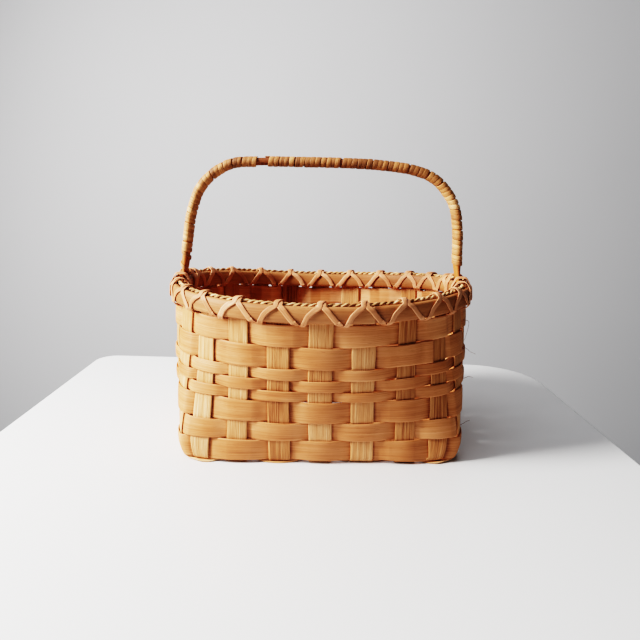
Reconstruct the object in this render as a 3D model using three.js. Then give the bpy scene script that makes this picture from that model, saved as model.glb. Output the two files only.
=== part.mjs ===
// Splint basket with a rectangular base, an oval rim and one fixed, wrapped hoop handle.
// Millimetres, +Z up, resting on z = 0. The long side lies along X and the front faces -Y.
// Front-to-back and end-to-end stakes cross on the base and turn up as the uprights of the wall.
// Rows of weaver pass in front of and behind the uprights, each row one strip with lapped ends.

import * as THREE from 'three';

// Stakes, counted on each side of the middle one
const STAKE_WIDTH = 24;
const STAKE_THICKNESS = 1.6;
const STAKE_PITCH = 43;
const CROSS_PAIRS = 3;
const LONG_PAIRS = 2;

// Weaver rows from the bottom up: three wide, three narrow, two wide, and one hidden by the rim
const ROW_WIDTHS = [21, 19, 23.3, 11, 11, 11.8, 23, 21.6];
const RIM_ROW_WIDTH = 14.6;
const WEAVER_THICKNESS = 1.4;
const ROW_GAP = 0.4;
const ROW_REACH = 1;

// Clearance between pieces that lie against each other
const GAP = 0.35;

// Base and walls, measured to the middle of the wall; the rim stands wider than the base by the flare
const FRONT_EDGE_ROOM = 5.5;
const END_EDGE_ROOM = 9;
const FRONT_FLARE = 15;
const END_FLARE = 12;
const WALL_FOOT = 6;
const END_LIFT = 8;
const RIM_SQUARENESS = 2.12;
const RIM_PITCH_LOSS = 1.8;

// The end walls swell between the base and the rim, and least at the corners
const END_BELLY = 6.5;
const BELLY_FLATNESS = 5;
const BELLY_LOWNESS = 0.7;

// Rim hoops, filler and lacing
const HOOP_HEIGHT = 17.2;
const OUTER_HOOP_DEPTH = 6;
const INNER_HOOP_DEPTH = 6;
const HOOP_ROUNDING = 0.45;
const BULGE_CARRY = 0.74;
const OUTER_LAP_UPRIGHT = 1;
const INNER_LAP_UPRIGHT = 14;
const FILLER_DIAMETER = 4.6;
const LACING_WIDTH = 6.4;
const LACING_THICKNESS = 0.8;
const LACING_LIFT = 0.6;
const CROWN_HALF = 4;
const SLOT_SLACK = 0.3;
const SLOT_CHAMFER = 2.2;
const SHOULDER_DROP = 2.4;

// Handle: tails tucked inside the end walls, oval legs and arch, strip wound round it
const TAIL_WIDTH = 16;
const TAIL_THICKNESS = 4;
const TAIL_LENGTH = 86;
const HANDLE_THICKNESS = 8.6;
const HANDLE_WIDTH = 15;
const HANDLE_ROUNDING = 0.72;
const HANDLE_SETBACK = 5;
const HANDLE_RISE = 132.2;
const SHOULDER_RISE = 22;
const WRAP_THICKNESS = 0.8;
const WRAP_CLEARANCE = 0.5;
const WRAP_COVER = 0.82;
const WRAP_TURNS = 24;
const BARE_LEFT_LEG = 33;
const BARE_RIGHT_LEG = 15;
const BARE_GAP_CENTRE = -64;
const BARE_GAP_LENGTH = 12;

// Outline of the handle's centre line: share of its half spread, share of its rise above the rim
const HANDLE_OUTLINE = [
  [-1, 0.141],
  [-0.976, 0.35],
  [-0.94, 0.58],
  [-0.872, 0.78],
  [-0.771, 0.904],
  [-0.64, 0.982],
  [-0.45, 1],
  [-0.1, 1],
  [0.2, 0.995],
  [0.45, 0.979],
  [0.64, 0.948],
  [0.775, 0.893],
  [0.872, 0.8],
  [0.952, 0.655],
  [0.988, 0.44],
  [1, 0.141],
];

// Fineness of the curves
const OVAL_SAMPLES = 1440;
const BEND_STEPS = 2;
const BEND_REACH = Math.PI / 3;
const HOOP_SIDES = 5;
const FILLER_SIDES = 6;
const HANDLE_SIDES = 8;
const HANDLE_STEP = 7;
const TAIL_POINTS = 4;

// Wood colours
const COLOURS = {
  stake: 0xb98a55,
  weaver: 0xc79a63,
  hoop: 0xa9743f,
  lacing: 0xd8b37c,
  filler: 0x8d6a3e,
  handle: 0xa86a34,
  wrap: 0xc08a52,
};

// Uprights count round the basket from the middle of the front: a quarter of them lead to the right end
const QUARTER = CROSS_PAIRS + LONG_PAIRS + 1;
const UPRIGHTS = 4 * QUARTER;
const RIGHT_END = QUARTER;
const BACK = 2 * QUARTER;
const LEFT_END = 3 * QUARTER;

// Sizes that follow from the ones above
const BASE_HALF_LENGTH = CROSS_PAIRS * STAKE_PITCH + STAKE_WIDTH / 2 + END_EDGE_ROOM;
const BASE_HALF_DEPTH = LONG_PAIRS * STAKE_PITCH + STAKE_WIDTH / 2 + FRONT_EDGE_ROOM;
const RIM_HALF_LENGTH = BASE_HALF_LENGTH + END_FLARE;
const RIM_HALF_DEPTH = BASE_HALF_DEPTH + FRONT_FLARE;
const RIM_FRONT_PITCH = STAKE_PITCH - RIM_PITCH_LOSS;
const LOWER_LEVEL = STAKE_THICKNESS / 2;
const UPPER_LEVEL = LOWER_LEVEL + STAKE_THICKNESS + GAP;
const WEAVER_OFFSET = STAKE_THICKNESS / 2 + GAP + WEAVER_THICKNESS / 2;
const WEAVE_HALF_DEPTH = WEAVER_OFFSET + WEAVER_THICKNESS / 2;
const HALF_FLAT = STAKE_WIDTH / 2 + ROW_REACH;
const ROWS = stackRows();
const BODY_TOP = ROWS[ROWS.length - 1].top;
const HOOP_BOTTOM = BODY_TOP + 2 * LACING_THICKNESS + LACING_LIFT + 2 * GAP + SLOT_SLACK;
const HOOP_TOP = HOOP_BOTTOM + HOOP_HEIGHT;
const RIM_ROW = { number: ROWS.length + 1, bottom: HOOP_BOTTOM + GAP / 2 };
RIM_ROW.top = RIM_ROW.bottom + RIM_ROW_WIDTH;
const STAKE_TOP = RIM_ROW.top + GAP;
const FILLER_HEIGHT = STAKE_TOP + GAP + FILLER_DIAMETER / 2;
const FILLER_RISE = HOOP_TOP + GAP + FILLER_DIAMETER / 2 - FILLER_HEIGHT;
const HOOP_FACE = WEAVE_HALF_DEPTH + GAP;
const TAIL_OFFSET = STAKE_THICKNESS / 2 + GAP + TAIL_THICKNESS / 2;
const TAIL_BACK = TAIL_OFFSET + TAIL_THICKNESS / 2;
const HOOP_BULGE = TAIL_BACK + GAP - HOOP_FACE;
const LACING_SHIFT = TAIL_WIDTH / 2 + GAP + LACING_WIDTH / 2;

// Heights of the eight rows of the body, stacked with a small gap between them
function stackRows() {
  let bottom = WALL_FOOT + GAP;
  return ROW_WIDTHS.map((width, index) => {
    const row = { number: index + 1, bottom, top: bottom + width };
    bottom = row.top + ROW_GAP;
    return row;
  });
}

// Rim oval

const oval = sampleOval();
const quarterLength = oval.lengths[OVAL_SAMPLES / 4];

function ovalPoint(angle) {
  const power = 2 / RIM_SQUARENESS;
  const across = Math.cos(angle);
  const along = Math.sin(angle);
  return new THREE.Vector2(
    RIM_HALF_LENGTH * Math.sign(across) * Math.abs(across) ** power,
    RIM_HALF_DEPTH * Math.sign(along) * Math.abs(along) ** power,
  );
}

// Points round the oval from the middle of the front, with the length walked to each
function sampleOval() {
  const points = [];
  const lengths = [0];
  for (let index = 0; index <= OVAL_SAMPLES; index += 1) {
    points.push(ovalPoint(-Math.PI / 2 + (2 * Math.PI * index) / OVAL_SAMPLES));
    if (index > 0) {
      lengths.push(lengths[index - 1] + points[index].distanceTo(points[index - 1]));
    }
  }
  return { points, lengths };
}

function ovalAt(length) {
  const total = oval.lengths[OVAL_SAMPLES];
  const target = ((length % total) + total) % total;
  let index = oval.lengths.findIndex((walked) => walked > target);
  index = Math.max(index, 1);
  const start = oval.lengths[index - 1];
  const share = (target - start) / (oval.lengths[index] - start);
  return oval.points[index - 1].clone().lerp(oval.points[index], share);
}

// Uprights

// Length round the rim from the front centre to an upright, by symmetry of the four quarters
function lengthToUpright(index) {
  if (index > BACK) {
    return 2 * quarterLength + lengthToUpright(index - BACK);
  }
  if (index > RIGHT_END) {
    return 2 * quarterLength - lengthToUpright(BACK - index);
  }
  const endPitch = (quarterLength - CROSS_PAIRS * RIM_FRONT_PITCH) / (LONG_PAIRS + 1);
  return Math.min(index, CROSS_PAIRS) * RIM_FRONT_PITCH + Math.max(index - CROSS_PAIRS, 0) * endPitch;
}

// Foot of an upright on the base edge and the way that edge runs, counterclockwise from the front
function footOf(index) {
  if (Math.abs(index - RIGHT_END) <= LONG_PAIRS) {
    return { foot: [BASE_HALF_LENGTH, (index - RIGHT_END) * STAKE_PITCH], run: [0, 1] };
  }
  if (Math.abs(index - BACK) <= CROSS_PAIRS) {
    return { foot: [(BACK - index) * STAKE_PITCH, BASE_HALF_DEPTH], run: [-1, 0] };
  }
  if (Math.abs(index - LEFT_END) <= LONG_PAIRS) {
    return { foot: [-BASE_HALF_LENGTH, (LEFT_END - index) * STAKE_PITCH], run: [0, -1] };
  }
  const steps = index <= CROSS_PAIRS ? index : index - UPRIGHTS;
  return { foot: [steps * STAKE_PITCH, -BASE_HALF_DEPTH], run: [1, 0] };
}

function makeUpright(index) {
  const { foot, run } = footOf(index);
  const length = lengthToUpright(index);
  const top = ovalAt(length);
  const topRun = ovalAt(length + 1).sub(ovalAt(length - 1)).normalize();
  return {
    foot: new THREE.Vector2(...foot),
    run: new THREE.Vector2(...run),
    top,
    topRun,
    stretch: 1 + (END_LIFT / HOOP_TOP) * (top.x / RIM_HALF_LENGTH) ** 2,
  };
}

const uprights = Array.from({ length: UPRIGHTS }, (_, index) => makeUpright(index));

// A point beside an upright: along its width, out from the wall, and up to a height at the front
function besideUpright(index, along, out, height) {
  const upright = uprights[(index + UPRIGHTS) % UPRIGHTS];
  const bow = Math.sin((Math.PI / 2) * Math.min(height / HOOP_TOP, 1));
  const place = upright.foot.clone().lerp(upright.top, bow);
  const run = upright.run.clone().lerp(upright.topRun, bow).normalize();
  return new THREE.Vector3(
    place.x + run.x * along + run.y * out + bellyAt(upright, along, height),
    place.y + run.y * along - run.x * out,
    height * upright.stretch,
  );
}

// How far an end wall swells out, by the length along the base edge and the height
function bellyAt({ foot, run }, along, height) {
  const fade = Math.abs((foot.y + run.y * along) / BASE_HALF_DEPTH) ** BELLY_FLATNESS;
  const swell = Math.sin(Math.PI * Math.min(height / HOOP_TOP, 1) ** BELLY_LOWNESS);
  return run.y * END_BELLY * (1 - fade) * swell;
}

const holdsHandle = (index) => [RIGHT_END, LEFT_END].includes((index + UPRIGHTS) % UPRIGHTS);

// Closed bodies

// Joins equal loops of points into one closed body; the diagonal picks how each quad is split
function loft(loops, diagonal = 'forward') {
  const count = loops[0].length;
  const positions = loops.flat().flatMap((point) => [point.x, point.y, point.z]);
  const faces = [];
  for (let step = 0; step < loops.length - 1; step += 1) {
    for (let side = 0; side < count; side += 1) {
      const next = (side + 1) % count;
      const a = step * count + side;
      const b = step * count + next;
      const c = (step + 1) * count + next;
      const d = (step + 1) * count + side;
      if (diagonal === 'forward') {
        faces.push([a, d, c], [a, c, b]);
      } else {
        faces.push([a, d, b], [b, d, c]);
      }
    }
  }
  const last = (loops.length - 1) * count;
  for (let side = 1; side < count - 1; side += 1) {
    faces.push([0, side, side + 1], [last, last + side + 1, last + side]);
  }
  const geometry = new THREE.BufferGeometry();
  geometry.setAttribute('position', new THREE.Float32BufferAttribute(positions, 3));
  geometry.setIndex(faces.flat());
  if (signedVolume(geometry) < 0) {
    geometry.setIndex(faces.flatMap(([a, b, c]) => [a, c, b]));
  }
  geometry.computeVertexNormals();
  return geometry;
}

// Volume that the faces enclose, negative where they point inward
function signedVolume(geometry) {
  const position = geometry.attributes.position;
  const index = geometry.index;
  const corners = [0, 1, 2].map(() => new THREE.Vector3());
  let volume = 0;
  for (let face = 0; face < index.count; face += 3) {
    corners.forEach((corner, step) => corner.fromBufferAttribute(position, index.getX(face + step)));
    volume += corners[0].dot(corners[1].clone().cross(corners[2])) / 6;
  }
  return volume;
}

// Cross-sections of a flat strip: each station has its middle, the way its face looks and the way its
// width lies
function stripLoops(stations, width, thickness) {
  return stations.map(({ point, face, across }) => (
    [[1, 1], [1, -1], [-1, -1], [-1, 1]].map(([side, layer]) => point
      .clone()
      .addScaledVector(across, (side * width) / 2)
      .addScaledVector(face, (layer * thickness) / 2))
  ));
}

// Least distance between loops of a winding that are at least half a turn apart
function leastSelfGap(loops, stepsPerTurn) {
  let least = Infinity;
  for (let first = 0; first < loops.length; first += 1) {
    for (let second = first + stepsPerTurn / 2; second < loops.length; second += 1) {
      for (const point of loops[first]) {
        for (const other of loops[second]) {
          least = Math.min(least, point.distanceTo(other));
        }
      }
    }
  }
  return least;
}

function reportSelfGap(name, loops, stepsPerTurn) {
  console.log(`${name}: least gap to itself ${leastSelfGap(loops, stepsPerTurn).toFixed(2)} mm`);
}

// Stakes

// Cross-section of a stake on the wall; left and right are as seen along the stake's run
function wallSection(index, height, flip) {
  const half = (flip * STAKE_WIDTH) / 2;
  const face = STAKE_THICKNESS / 2;
  return [
    besideUpright(index, -half, face, height),
    besideUpright(index, half, face, height),
    besideUpright(index, half, -face, height),
    besideUpright(index, -half, -face, height),
  ];
}

// Heights where a stake is measured on the wall, from its foot to its top, at the edges of the rows
function wallHeights() {
  const edges = ROWS.slice(0, -1).map((row) => row.top + ROW_GAP / 2);
  return [WALL_FOOT, ...edges, BODY_TOP, RIM_ROW.bottom, STAKE_TOP];
}

// Level of a stake where it crosses another on the base
function levelAt(crossIndex, longIndex, isCross) {
  const crossOnTop = Math.abs(crossIndex + longIndex) % 2 === 1;
  return crossOnTop === isCross ? UPPER_LEVEL : LOWER_LEVEL;
}

// Points along a stake's bend from the base up to the wall: distance from the middle, height, tilt
function bendProfile(level, wallDistance) {
  const radius = WALL_FOOT - level;
  return Array.from({ length: BEND_STEPS + 1 }, (_, step) => {
    const angle = (step * BEND_REACH) / BEND_STEPS;
    return {
      distance: wallDistance - radius + radius * Math.sin(angle),
      height: WALL_FOOT - radius * Math.cos(angle),
      tilt: angle,
    };
  });
}

// One stake: down one wall, across the base over and under the other set, and up the far wall
function stake({ startUpright, endUpright, offset, crossings, wallDistance, isCross }) {
  const direction = isCross ? new THREE.Vector3(0, 1, 0) : new THREE.Vector3(1, 0, 0);
  const left = isCross ? new THREE.Vector3(-1, 0, 0) : new THREE.Vector3(0, 1, 0);
  const middle = left.clone().multiplyScalar(-offset);
  const baseSection = (distance, height, tilt) => {
    const centre = middle.clone().addScaledVector(direction, distance);
    centre.z = height;
    const under = new THREE.Vector3(0, 0, -Math.cos(tilt)).addScaledVector(direction, Math.sin(tilt));
    return [[1, 1], [-1, 1], [-1, -1], [1, -1]].map(([side, layer]) => centre
      .clone()
      .addScaledVector(left, (side * STAKE_WIDTH) / 2)
      .addScaledVector(under, (layer * STAKE_THICKNESS) / 2));
  };
  const heights = wallHeights();
  const startBend = bendProfile(crossings[0].level, wallDistance).reverse();
  const endBend = bendProfile(crossings[crossings.length - 1].level, wallDistance);
  const loops = [
    ...heights.slice().reverse().map((height) => wallSection(startUpright, height, 1)),
    ...startBend.map((bend) => baseSection(-bend.distance, bend.height, -bend.tilt)),
    ...crossings.flatMap(({ place, level }, order) => {
      const edges = [place - HALF_FLAT, place + HALF_FLAT];
      const isFirst = order === 0;
      const isLast = order === crossings.length - 1;
      const kept = edges.filter((_, side) => !(isFirst && side === 0) && !(isLast && side === 1));
      return kept.map((distance) => baseSection(distance, level, 0));
    }),
    ...endBend.map((bend) => baseSection(bend.distance, bend.height, bend.tilt)),
    ...heights.map((height) => wallSection(endUpright, height, -1)),
  ];
  return loft(loops, 'backward');
}

function crossStake(index) {
  const crossings = eachSideOfMiddle(LONG_PAIRS).map((long) => ({
    place: long * STAKE_PITCH,
    level: levelAt(index, long, true),
  }));
  return stake({
    startUpright: index,
    endUpright: BACK - index,
    offset: index * STAKE_PITCH,
    crossings,
    wallDistance: BASE_HALF_DEPTH,
    isCross: true,
  });
}

function longStake(index) {
  const crossings = eachSideOfMiddle(CROSS_PAIRS).map((cross) => ({
    place: cross * STAKE_PITCH,
    level: levelAt(cross, index, false),
  }));
  return stake({
    startUpright: LEFT_END - index,
    endUpright: RIGHT_END + index,
    offset: -index * STAKE_PITCH,
    crossings,
    wallDistance: BASE_HALF_LENGTH,
    isCross: false,
  });
}

// Whole numbers from minus a count to plus that count
function eachSideOfMiddle(count) {
  return Array.from({ length: 2 * count + 1 }, (_, order) => order - count);
}

// Rings that end in a lap

// Stations run round the basket, two to an upright, at its left and right edges. The first two hold
// the outer half of the lap and the last two the inner half.
function lappedRing(firstStation, sectionAt, diagonal) {
  const loops = [];
  const lastStation = firstStation + 2 * UPRIGHTS + 1;
  for (let station = firstStation; station <= lastStation; station += 1) {
    const half = station < firstStation + 2 ? 'outer' : 'inner';
    const isLap = station < firstStation + 2 || station > lastStation - 2;
    const index = Math.floor(station / 2) % UPRIGHTS;
    loops.push(sectionAt(index, station % 2 === 0 ? -1 : 1, isLap ? half : 'whole'));
  }
  return loft(loops, diagonal);
}

// Splits a layer between two offsets into the half that a lap keeps
function layerOf(inner, outer, half) {
  const middle = (inner + outer) / 2;
  if (half === 'outer') {
    return [middle + GAP / 2, outer];
  }
  if (half === 'inner') {
    return [inner, middle - GAP / 2];
  }
  return [inner, outer];
}

// Weaver rows

const passesOutside = (row, index) => (row.number + index) % 2 === 1;

function coversTail(row, index) {
  return holdsHandle(index) && row.top > HOOP_TOP - TAIL_LENGTH;
}

function weaverSection(row, index, edge, half) {
  const outside = passesOutside(row, index);
  const behindTail = !outside && coversTail(row, index);
  const inward = behindTail ? TAIL_BACK + GAP + WEAVER_THICKNESS / 2 : WEAVER_OFFSET;
  const centre = outside ? WEAVER_OFFSET : -inward;
  const along = edge * (behindTail ? TAIL_WIDTH / 2 + ROW_REACH : HALF_FLAT);
  const thick = WEAVER_THICKNESS / 2;
  const [inner, outer] = layerOf(centre - thick, centre + thick, half);
  return [
    besideUpright(index, along, inner, row.bottom),
    besideUpright(index, along, inner, row.top),
    besideUpright(index, along, outer, row.top),
    besideUpright(index, along, outer, row.bottom),
  ];
}

// Each row laps behind a stake that hides it, and the laps move round the back from row to row
function weaver(row) {
  const shift = 2 * ((row.number % CROSS_PAIRS) - 1);
  const evenUp = (row.number + BACK) % 2;
  const lapUpright = BACK + shift + evenUp;
  return lappedRing(2 * lapUpright, (index, edge, half) => weaverSection(row, index, edge, half));
}

// Rim hoops

// How far the inner hoop stands in to clear a handle tail; the bulge dies away over the next upright
function hoopBulge(index, along) {
  if (holdsHandle(index)) {
    return HOOP_BULGE;
  }
  const side = holdsHandle(index + 1) ? 1 : -1;
  const isBeside = holdsHandle(index + side);
  const share = (HALF_FLAT + side * along) / (2 * HALF_FLAT);
  return isBeside ? HOOP_BULGE * BULGE_CARRY * share : 0;
}

// Half-round profile: a flat face on the wall side and a crest away from it, from bottom to top
function halfRound(flatFace, crest) {
  const middle = (HOOP_BOTTOM + HOOP_TOP) / 2;
  const curve = Array.from({ length: HOOP_SIDES }, (_, step) => {
    const angle = -Math.PI / 2 + (Math.PI * (step + 1)) / (HOOP_SIDES + 1);
    const fullness = Math.cos(angle) ** HOOP_ROUNDING;
    return [flatFace + (crest - flatFace) * fullness, middle + (HOOP_HEIGHT / 2) * Math.sin(angle)];
  });
  return [[flatFace, HOOP_BOTTOM], ...curve, [flatFace, HOOP_TOP]];
}

function hoopSection(index, edge, half, near, far) {
  const bulge = near < 0 ? hoopBulge(index, edge * HALF_FLAT) : 0;
  const [flatFace, crest] = near < 0
    ? layerOf(far, near, half).reverse()
    : layerOf(near, far, half);
  return halfRound(flatFace - bulge, crest - bulge)
    .map(([out, height]) => besideUpright(index, edge * HALF_FLAT, out, height));
}

function outerHoop() {
  const far = HOOP_FACE + OUTER_HOOP_DEPTH;
  const firstStation = 2 * OUTER_LAP_UPRIGHT + 1;
  return lappedRing(firstStation, (index, edge, half) => hoopSection(index, edge, half, HOOP_FACE, far));
}

function innerHoop() {
  const far = -HOOP_FACE - INNER_HOOP_DEPTH;
  const firstStation = 2 * INNER_LAP_UPRIGHT + 1;
  return lappedRing(firstStation, (index, edge, half) => hoopSection(index, edge, half, -HOOP_FACE, far));
}

// How far the filler rises beside an upright: onto the hoops at the handle, and towards it before that
function fillerRise(index, along) {
  if (holdsHandle(index)) {
    return FILLER_RISE;
  }
  const side = holdsHandle(index + 1) ? 1 : -1;
  const share = (HALF_FLAT + side * along) / (2 * HALF_FLAT);
  return holdsHandle(index + side) ? FILLER_RISE * share : 0;
}

// Rim filler: a cord that lies in the slot between the hoops and passes outside the handle legs
function rimFiller() {
  const start = 2 * BACK + 1;
  const end = start + 2 * UPRIGHTS - 1;
  const centreAt = (station) => {
    const index = Math.floor(station / 2) % UPRIGHTS;
    const out = holdsHandle(index) ? FILLER_DIAMETER / 2 + GAP : 0;
    const along = station % 2 === 0 ? -HALF_FLAT : HALF_FLAT;
    return besideUpright(index, along, out, FILLER_HEIGHT + fillerRise(index, along));
  };
  const centres = [];
  for (let station = start; station <= end; station += 1) {
    centres.push(centreAt(station));
  }
  const lastStep = centreAt(start).sub(centreAt(end));
  const reach = lastStep.length() - GAP;
  centres.push(centreAt(end).addScaledVector(lastStep.normalize(), reach));
  const up = new THREE.Vector3(0, 0, 1);
  const loops = centres.map((centre, index) => {
    const before = centres[Math.max(index - 1, 0)];
    const after = centres[Math.min(index + 1, centres.length - 1)];
    const across = after.clone().sub(before).normalize().cross(up).normalize();
    return Array.from({ length: FILLER_SIDES }, (_, side) => {
      const angle = ((side + 0.5) * 2 * Math.PI) / FILLER_SIDES;
      return centre
        .clone()
        .addScaledVector(across, (FILLER_DIAMETER / 2) * Math.cos(angle))
        .addScaledVector(up, (FILLER_DIAMETER / 2) * Math.sin(angle));
    });
  });
  return loft(loops);
}

// Rim lacing

// Outline that the lacing hugs round the rim's cross-section, counterclockwise seen along the rim:
// name of the corner, distance out from the wall, height, and whether it lies in a gap between stakes
function lacingOutline() {
  const outside = HOOP_FACE + OUTER_HOOP_DEPTH + GAP;
  const inside = -(HOOP_FACE + INNER_HOOP_DEPTH + GAP);
  const crown = FILLER_HEIGHT + FILLER_DIAMETER / 2 + GAP;
  const shoulder = HOOP_TOP - SHOULDER_DROP;
  const slot = HOOP_BOTTOM - GAP;
  return [
    { name: 'outBottom', out: outside, height: slot + SLOT_CHAMFER, low: true },
    { name: 'outTop', out: outside, height: shoulder, low: false },
    { name: 'outCrown', out: CROWN_HALF, height: crown, low: false, overFiller: true },
    { name: 'inCrown', out: -CROWN_HALF, height: crown, low: false, overFiller: true },
    { name: 'inTop', out: inside, height: shoulder, low: false },
    { name: 'inBottom', out: inside, height: slot + SLOT_CHAMFER, low: true },
    { name: 'inSlot', out: inside + SLOT_CHAMFER, height: slot, low: true },
    { name: 'outSlot', out: outside - SLOT_CHAMFER, height: slot, low: true },
  ];
}

// Corners of the lacing by name, each carried off the outline along its mitre by a stand-off
function lacingCorners(standOff) {
  const outline = lacingOutline();
  const normal = (from, to) => {
    const edge = new THREE.Vector2(to.out - from.out, to.height - from.height).normalize();
    return new THREE.Vector2(edge.y, -edge.x);
  };
  return Object.fromEntries(outline.map((corner, index) => {
    const before = normal(outline[(index + outline.length - 1) % outline.length], corner);
    const after = normal(corner, outline[(index + 1) % outline.length]);
    const mitre = before.clone().add(after).divideScalar(1 + before.dot(after));
    const out = corner.out + mitre.x * standOff;
    const height = corner.height + mitre.y * standOff;
    return [corner.name, { ...corner, out, height, mitre }];
  }));
}

// A point of the lacing beside an upright; inside the basket it follows the inner hoop's bulge
function lacingPoint(upright, along, out, height) {
  const bulge = out < 0 ? hoopBulge(upright, along) : 0;
  return besideUpright(upright, along, out - bulge, height);
}

// A lacing corner, over an upright and shifted along the rim or in the gap that follows the upright
function lacingStation({ out, height, mitre, low, overFiller }, index, shift) {
  const top = height + (overFiller ? fillerRise(index, shift) : 0);
  const [start, end] = low
    ? [lacingPoint(index, HALF_FLAT, out, height), lacingPoint(index + 1, -HALF_FLAT, out, height)]
    : [lacingPoint(index, shift - 1, out, top), lacingPoint(index, shift + 1, out, top)];
  const across = end.clone().sub(start).normalize();
  const outward = new THREE.Vector3(across.y, -across.x, 0).normalize();
  return {
    point: start.clone().lerp(end, 0.5),
    face: outward.multiplyScalar(mitre.x).setZ(mitre.y),
    across,
    halfSpan: start.distanceTo(end) / 2,
  };
}

// Where the lacing bends over the edge of an upright, between the gap and the top of the stake
function lacingBend(corners, side, index, edge, shift) {
  const bottom = corners[`${side}Bottom`];
  const top = corners[`${side}Top`];
  const inGap = lacingStation(bottom, edge > 0 ? index : index - 1, 0);
  const overStake = lacingStation(top, index, shift);
  const share = inGap.halfSpan / (inGap.halfSpan + HALF_FLAT - edge * shift);
  const height = THREE.MathUtils.lerp(bottom.height, top.height, share);
  const across = inGap.across.clone().add(overStake.across).normalize();
  return {
    point: lacingPoint(index, edge * HALF_FLAT, top.out, height),
    face: new THREE.Vector3(across.y, -across.x, 0).normalize().multiplyScalar(Math.sign(top.out)),
    across,
  };
}

// One pass round the rim, a turn to each upright: over the crown, down one side of the rim, through the
// slot in the gap to the right and up the other side. The return pass lies over the first.
function lacingPass(name, layer, down, up, handleShift) {
  const corners = lacingCorners(LACING_THICKNESS / 2 + layer * (LACING_THICKNESS + LACING_LIFT));
  const over = [`${up}Top`, `${up}Crown`, `${down}Crown`, `${down}Top`];
  const under = [`${down}Bottom`, `${down}Slot`, `${up}Slot`, `${up}Bottom`];
  const shiftAt = (index) => (holdsHandle(index) ? handleShift : 0);
  const turnAt = (index) => [
    ...over.map((key) => lacingStation(corners[key], index, shiftAt(index))),
    lacingBend(corners, down, index, 1, shiftAt(index)),
    ...under.map((key) => lacingStation(corners[key], index, 0)),
    lacingBend(corners, up, index + 1, -1, shiftAt(index + 1)),
  ];
  const stations = uprights.flatMap((_, turn) => turnAt(LEFT_END + turn));
  const loops = stripLoops(stations, LACING_WIDTH, LACING_THICKNESS);
  reportSelfGap(name, loops, stations.length / UPRIGHTS);
  return loft(loops);
}

// Handle

const handleLine = makeHandleLine();

// Centre line of the handle from tail to tail, as closely spaced points with their thickness
function makeHandleLine() {
  const rimTop = HOOP_TOP * uprights[RIGHT_END].stretch;
  const spread = RIM_HALF_LENGTH - HANDLE_SETBACK;
  const tail = (index) => Array.from({ length: TAIL_POINTS }, (_, step) => {
    const height = HOOP_TOP - TAIL_LENGTH * (1 - step / (TAIL_POINTS - 1));
    return besideUpright(index, 0, -TAIL_OFFSET, height);
  });
  const arch = HANDLE_OUTLINE.map(([across, up]) => (
    new THREE.Vector3(across * spread, 0, rimTop + up * HANDLE_RISE)
  ));
  const controls = [...tail(LEFT_END), ...arch, ...tail(RIGHT_END).reverse()];
  const curve = new THREE.CatmullRomCurve3(controls, false, 'centripetal');
  const points = curve.getSpacedPoints(Math.round(curve.getLength() / HANDLE_STEP));
  const lengths = [0];
  points.slice(1).forEach((point, index) => lengths.push(lengths[index] + point.distanceTo(points[index])));
  const grown = (point) => THREE.MathUtils.smoothstep(point.z, rimTop, rimTop + SHOULDER_RISE);
  return {
    points,
    lengths,
    thickness: points.map((point) => THREE.MathUtils.lerp(TAIL_THICKNESS, HANDLE_THICKNESS, grown(point))),
    width: points.map((point) => THREE.MathUtils.lerp(TAIL_WIDTH, HANDLE_WIDTH, grown(point))),
    rimTop,
  };
}

// Point, travel direction and half sizes at a length along the handle
function handleAt(length) {
  const { points, lengths, thickness, width } = handleLine;
  let index = lengths.findIndex((walked) => walked > length);
  index = index < 1 ? lengths.length - 1 : index;
  const share = (length - lengths[index - 1]) / (lengths[index] - lengths[index - 1]);
  const blend = (list) => THREE.MathUtils.lerp(list[index - 1], list[index], share);
  const radial = radialAt(index - 1).lerp(radialAt(index), share).normalize();
  return {
    point: points[index - 1].clone().lerp(points[index], share),
    radial,
    travel: new THREE.Vector3(radial.z, 0, -radial.x),
    halfThickness: blend(thickness) / 2,
    halfWidth: blend(width) / 2,
  };
}

// Direction away from the inside of the arch at one of the handle's points
function radialAt(index) {
  const { points } = handleLine;
  const before = points[Math.max(index - 1, 0)];
  const after = points[Math.min(index + 1, points.length - 1)];
  const travel = after.clone().sub(before).normalize();
  return new THREE.Vector3(-travel.z, 0, travel.x);
}

// Offset from the handle's centre line on its oval section, at a step round it
function ovalOffset(place, step, margin) {
  const angle = ((step + 0.5) * 2 * Math.PI) / HANDLE_SIDES;
  const rounded = (value) => Math.sign(value) * Math.abs(value) ** HANDLE_ROUNDING;
  const away = rounded(Math.cos(angle)) * (place.halfThickness + margin);
  const across = rounded(Math.sin(angle)) * (place.halfWidth + margin);
  return place.radial.clone().multiplyScalar(away).add(new THREE.Vector3(0, across, 0));
}

// Direction square to the oval section at a step round it
function ovalNormal(place, step) {
  const chord = ovalOffset(place, step + 1, 0).sub(ovalOffset(place, step - 1, 0));
  return chord.cross(place.travel).normalize();
}

function handleCore() {
  const loops = handleLine.lengths.map((length) => {
    const place = handleAt(length);
    return Array.from({ length: HANDLE_SIDES }, (_, step) => (
      place.point.clone().add(ovalOffset(place, step, 0))
    ));
  });
  return loft(loops);
}

// A strip wound round the handle between two lengths along it
function handleWrap(name, from, to) {
  const pitch = (to - from) / WRAP_TURNS;
  const margin = WRAP_CLEARANCE + WRAP_THICKNESS / 2;
  const stations = [];
  for (let step = 0; step <= WRAP_TURNS * HANDLE_SIDES; step += 1) {
    const place = handleAt(from + (pitch * step) / HANDLE_SIDES);
    const offset = ovalOffset(place, step, margin);
    stations.push({
      point: place.point.clone().add(offset),
      face: ovalNormal(place, step),
      across: place.travel,
    });
  }
  const loops = stripLoops(stations, pitch * WRAP_COVER, WRAP_THICKNESS);
  reportSelfGap(name, loops, HANDLE_SIDES);
  return loft(loops);
}

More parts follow.
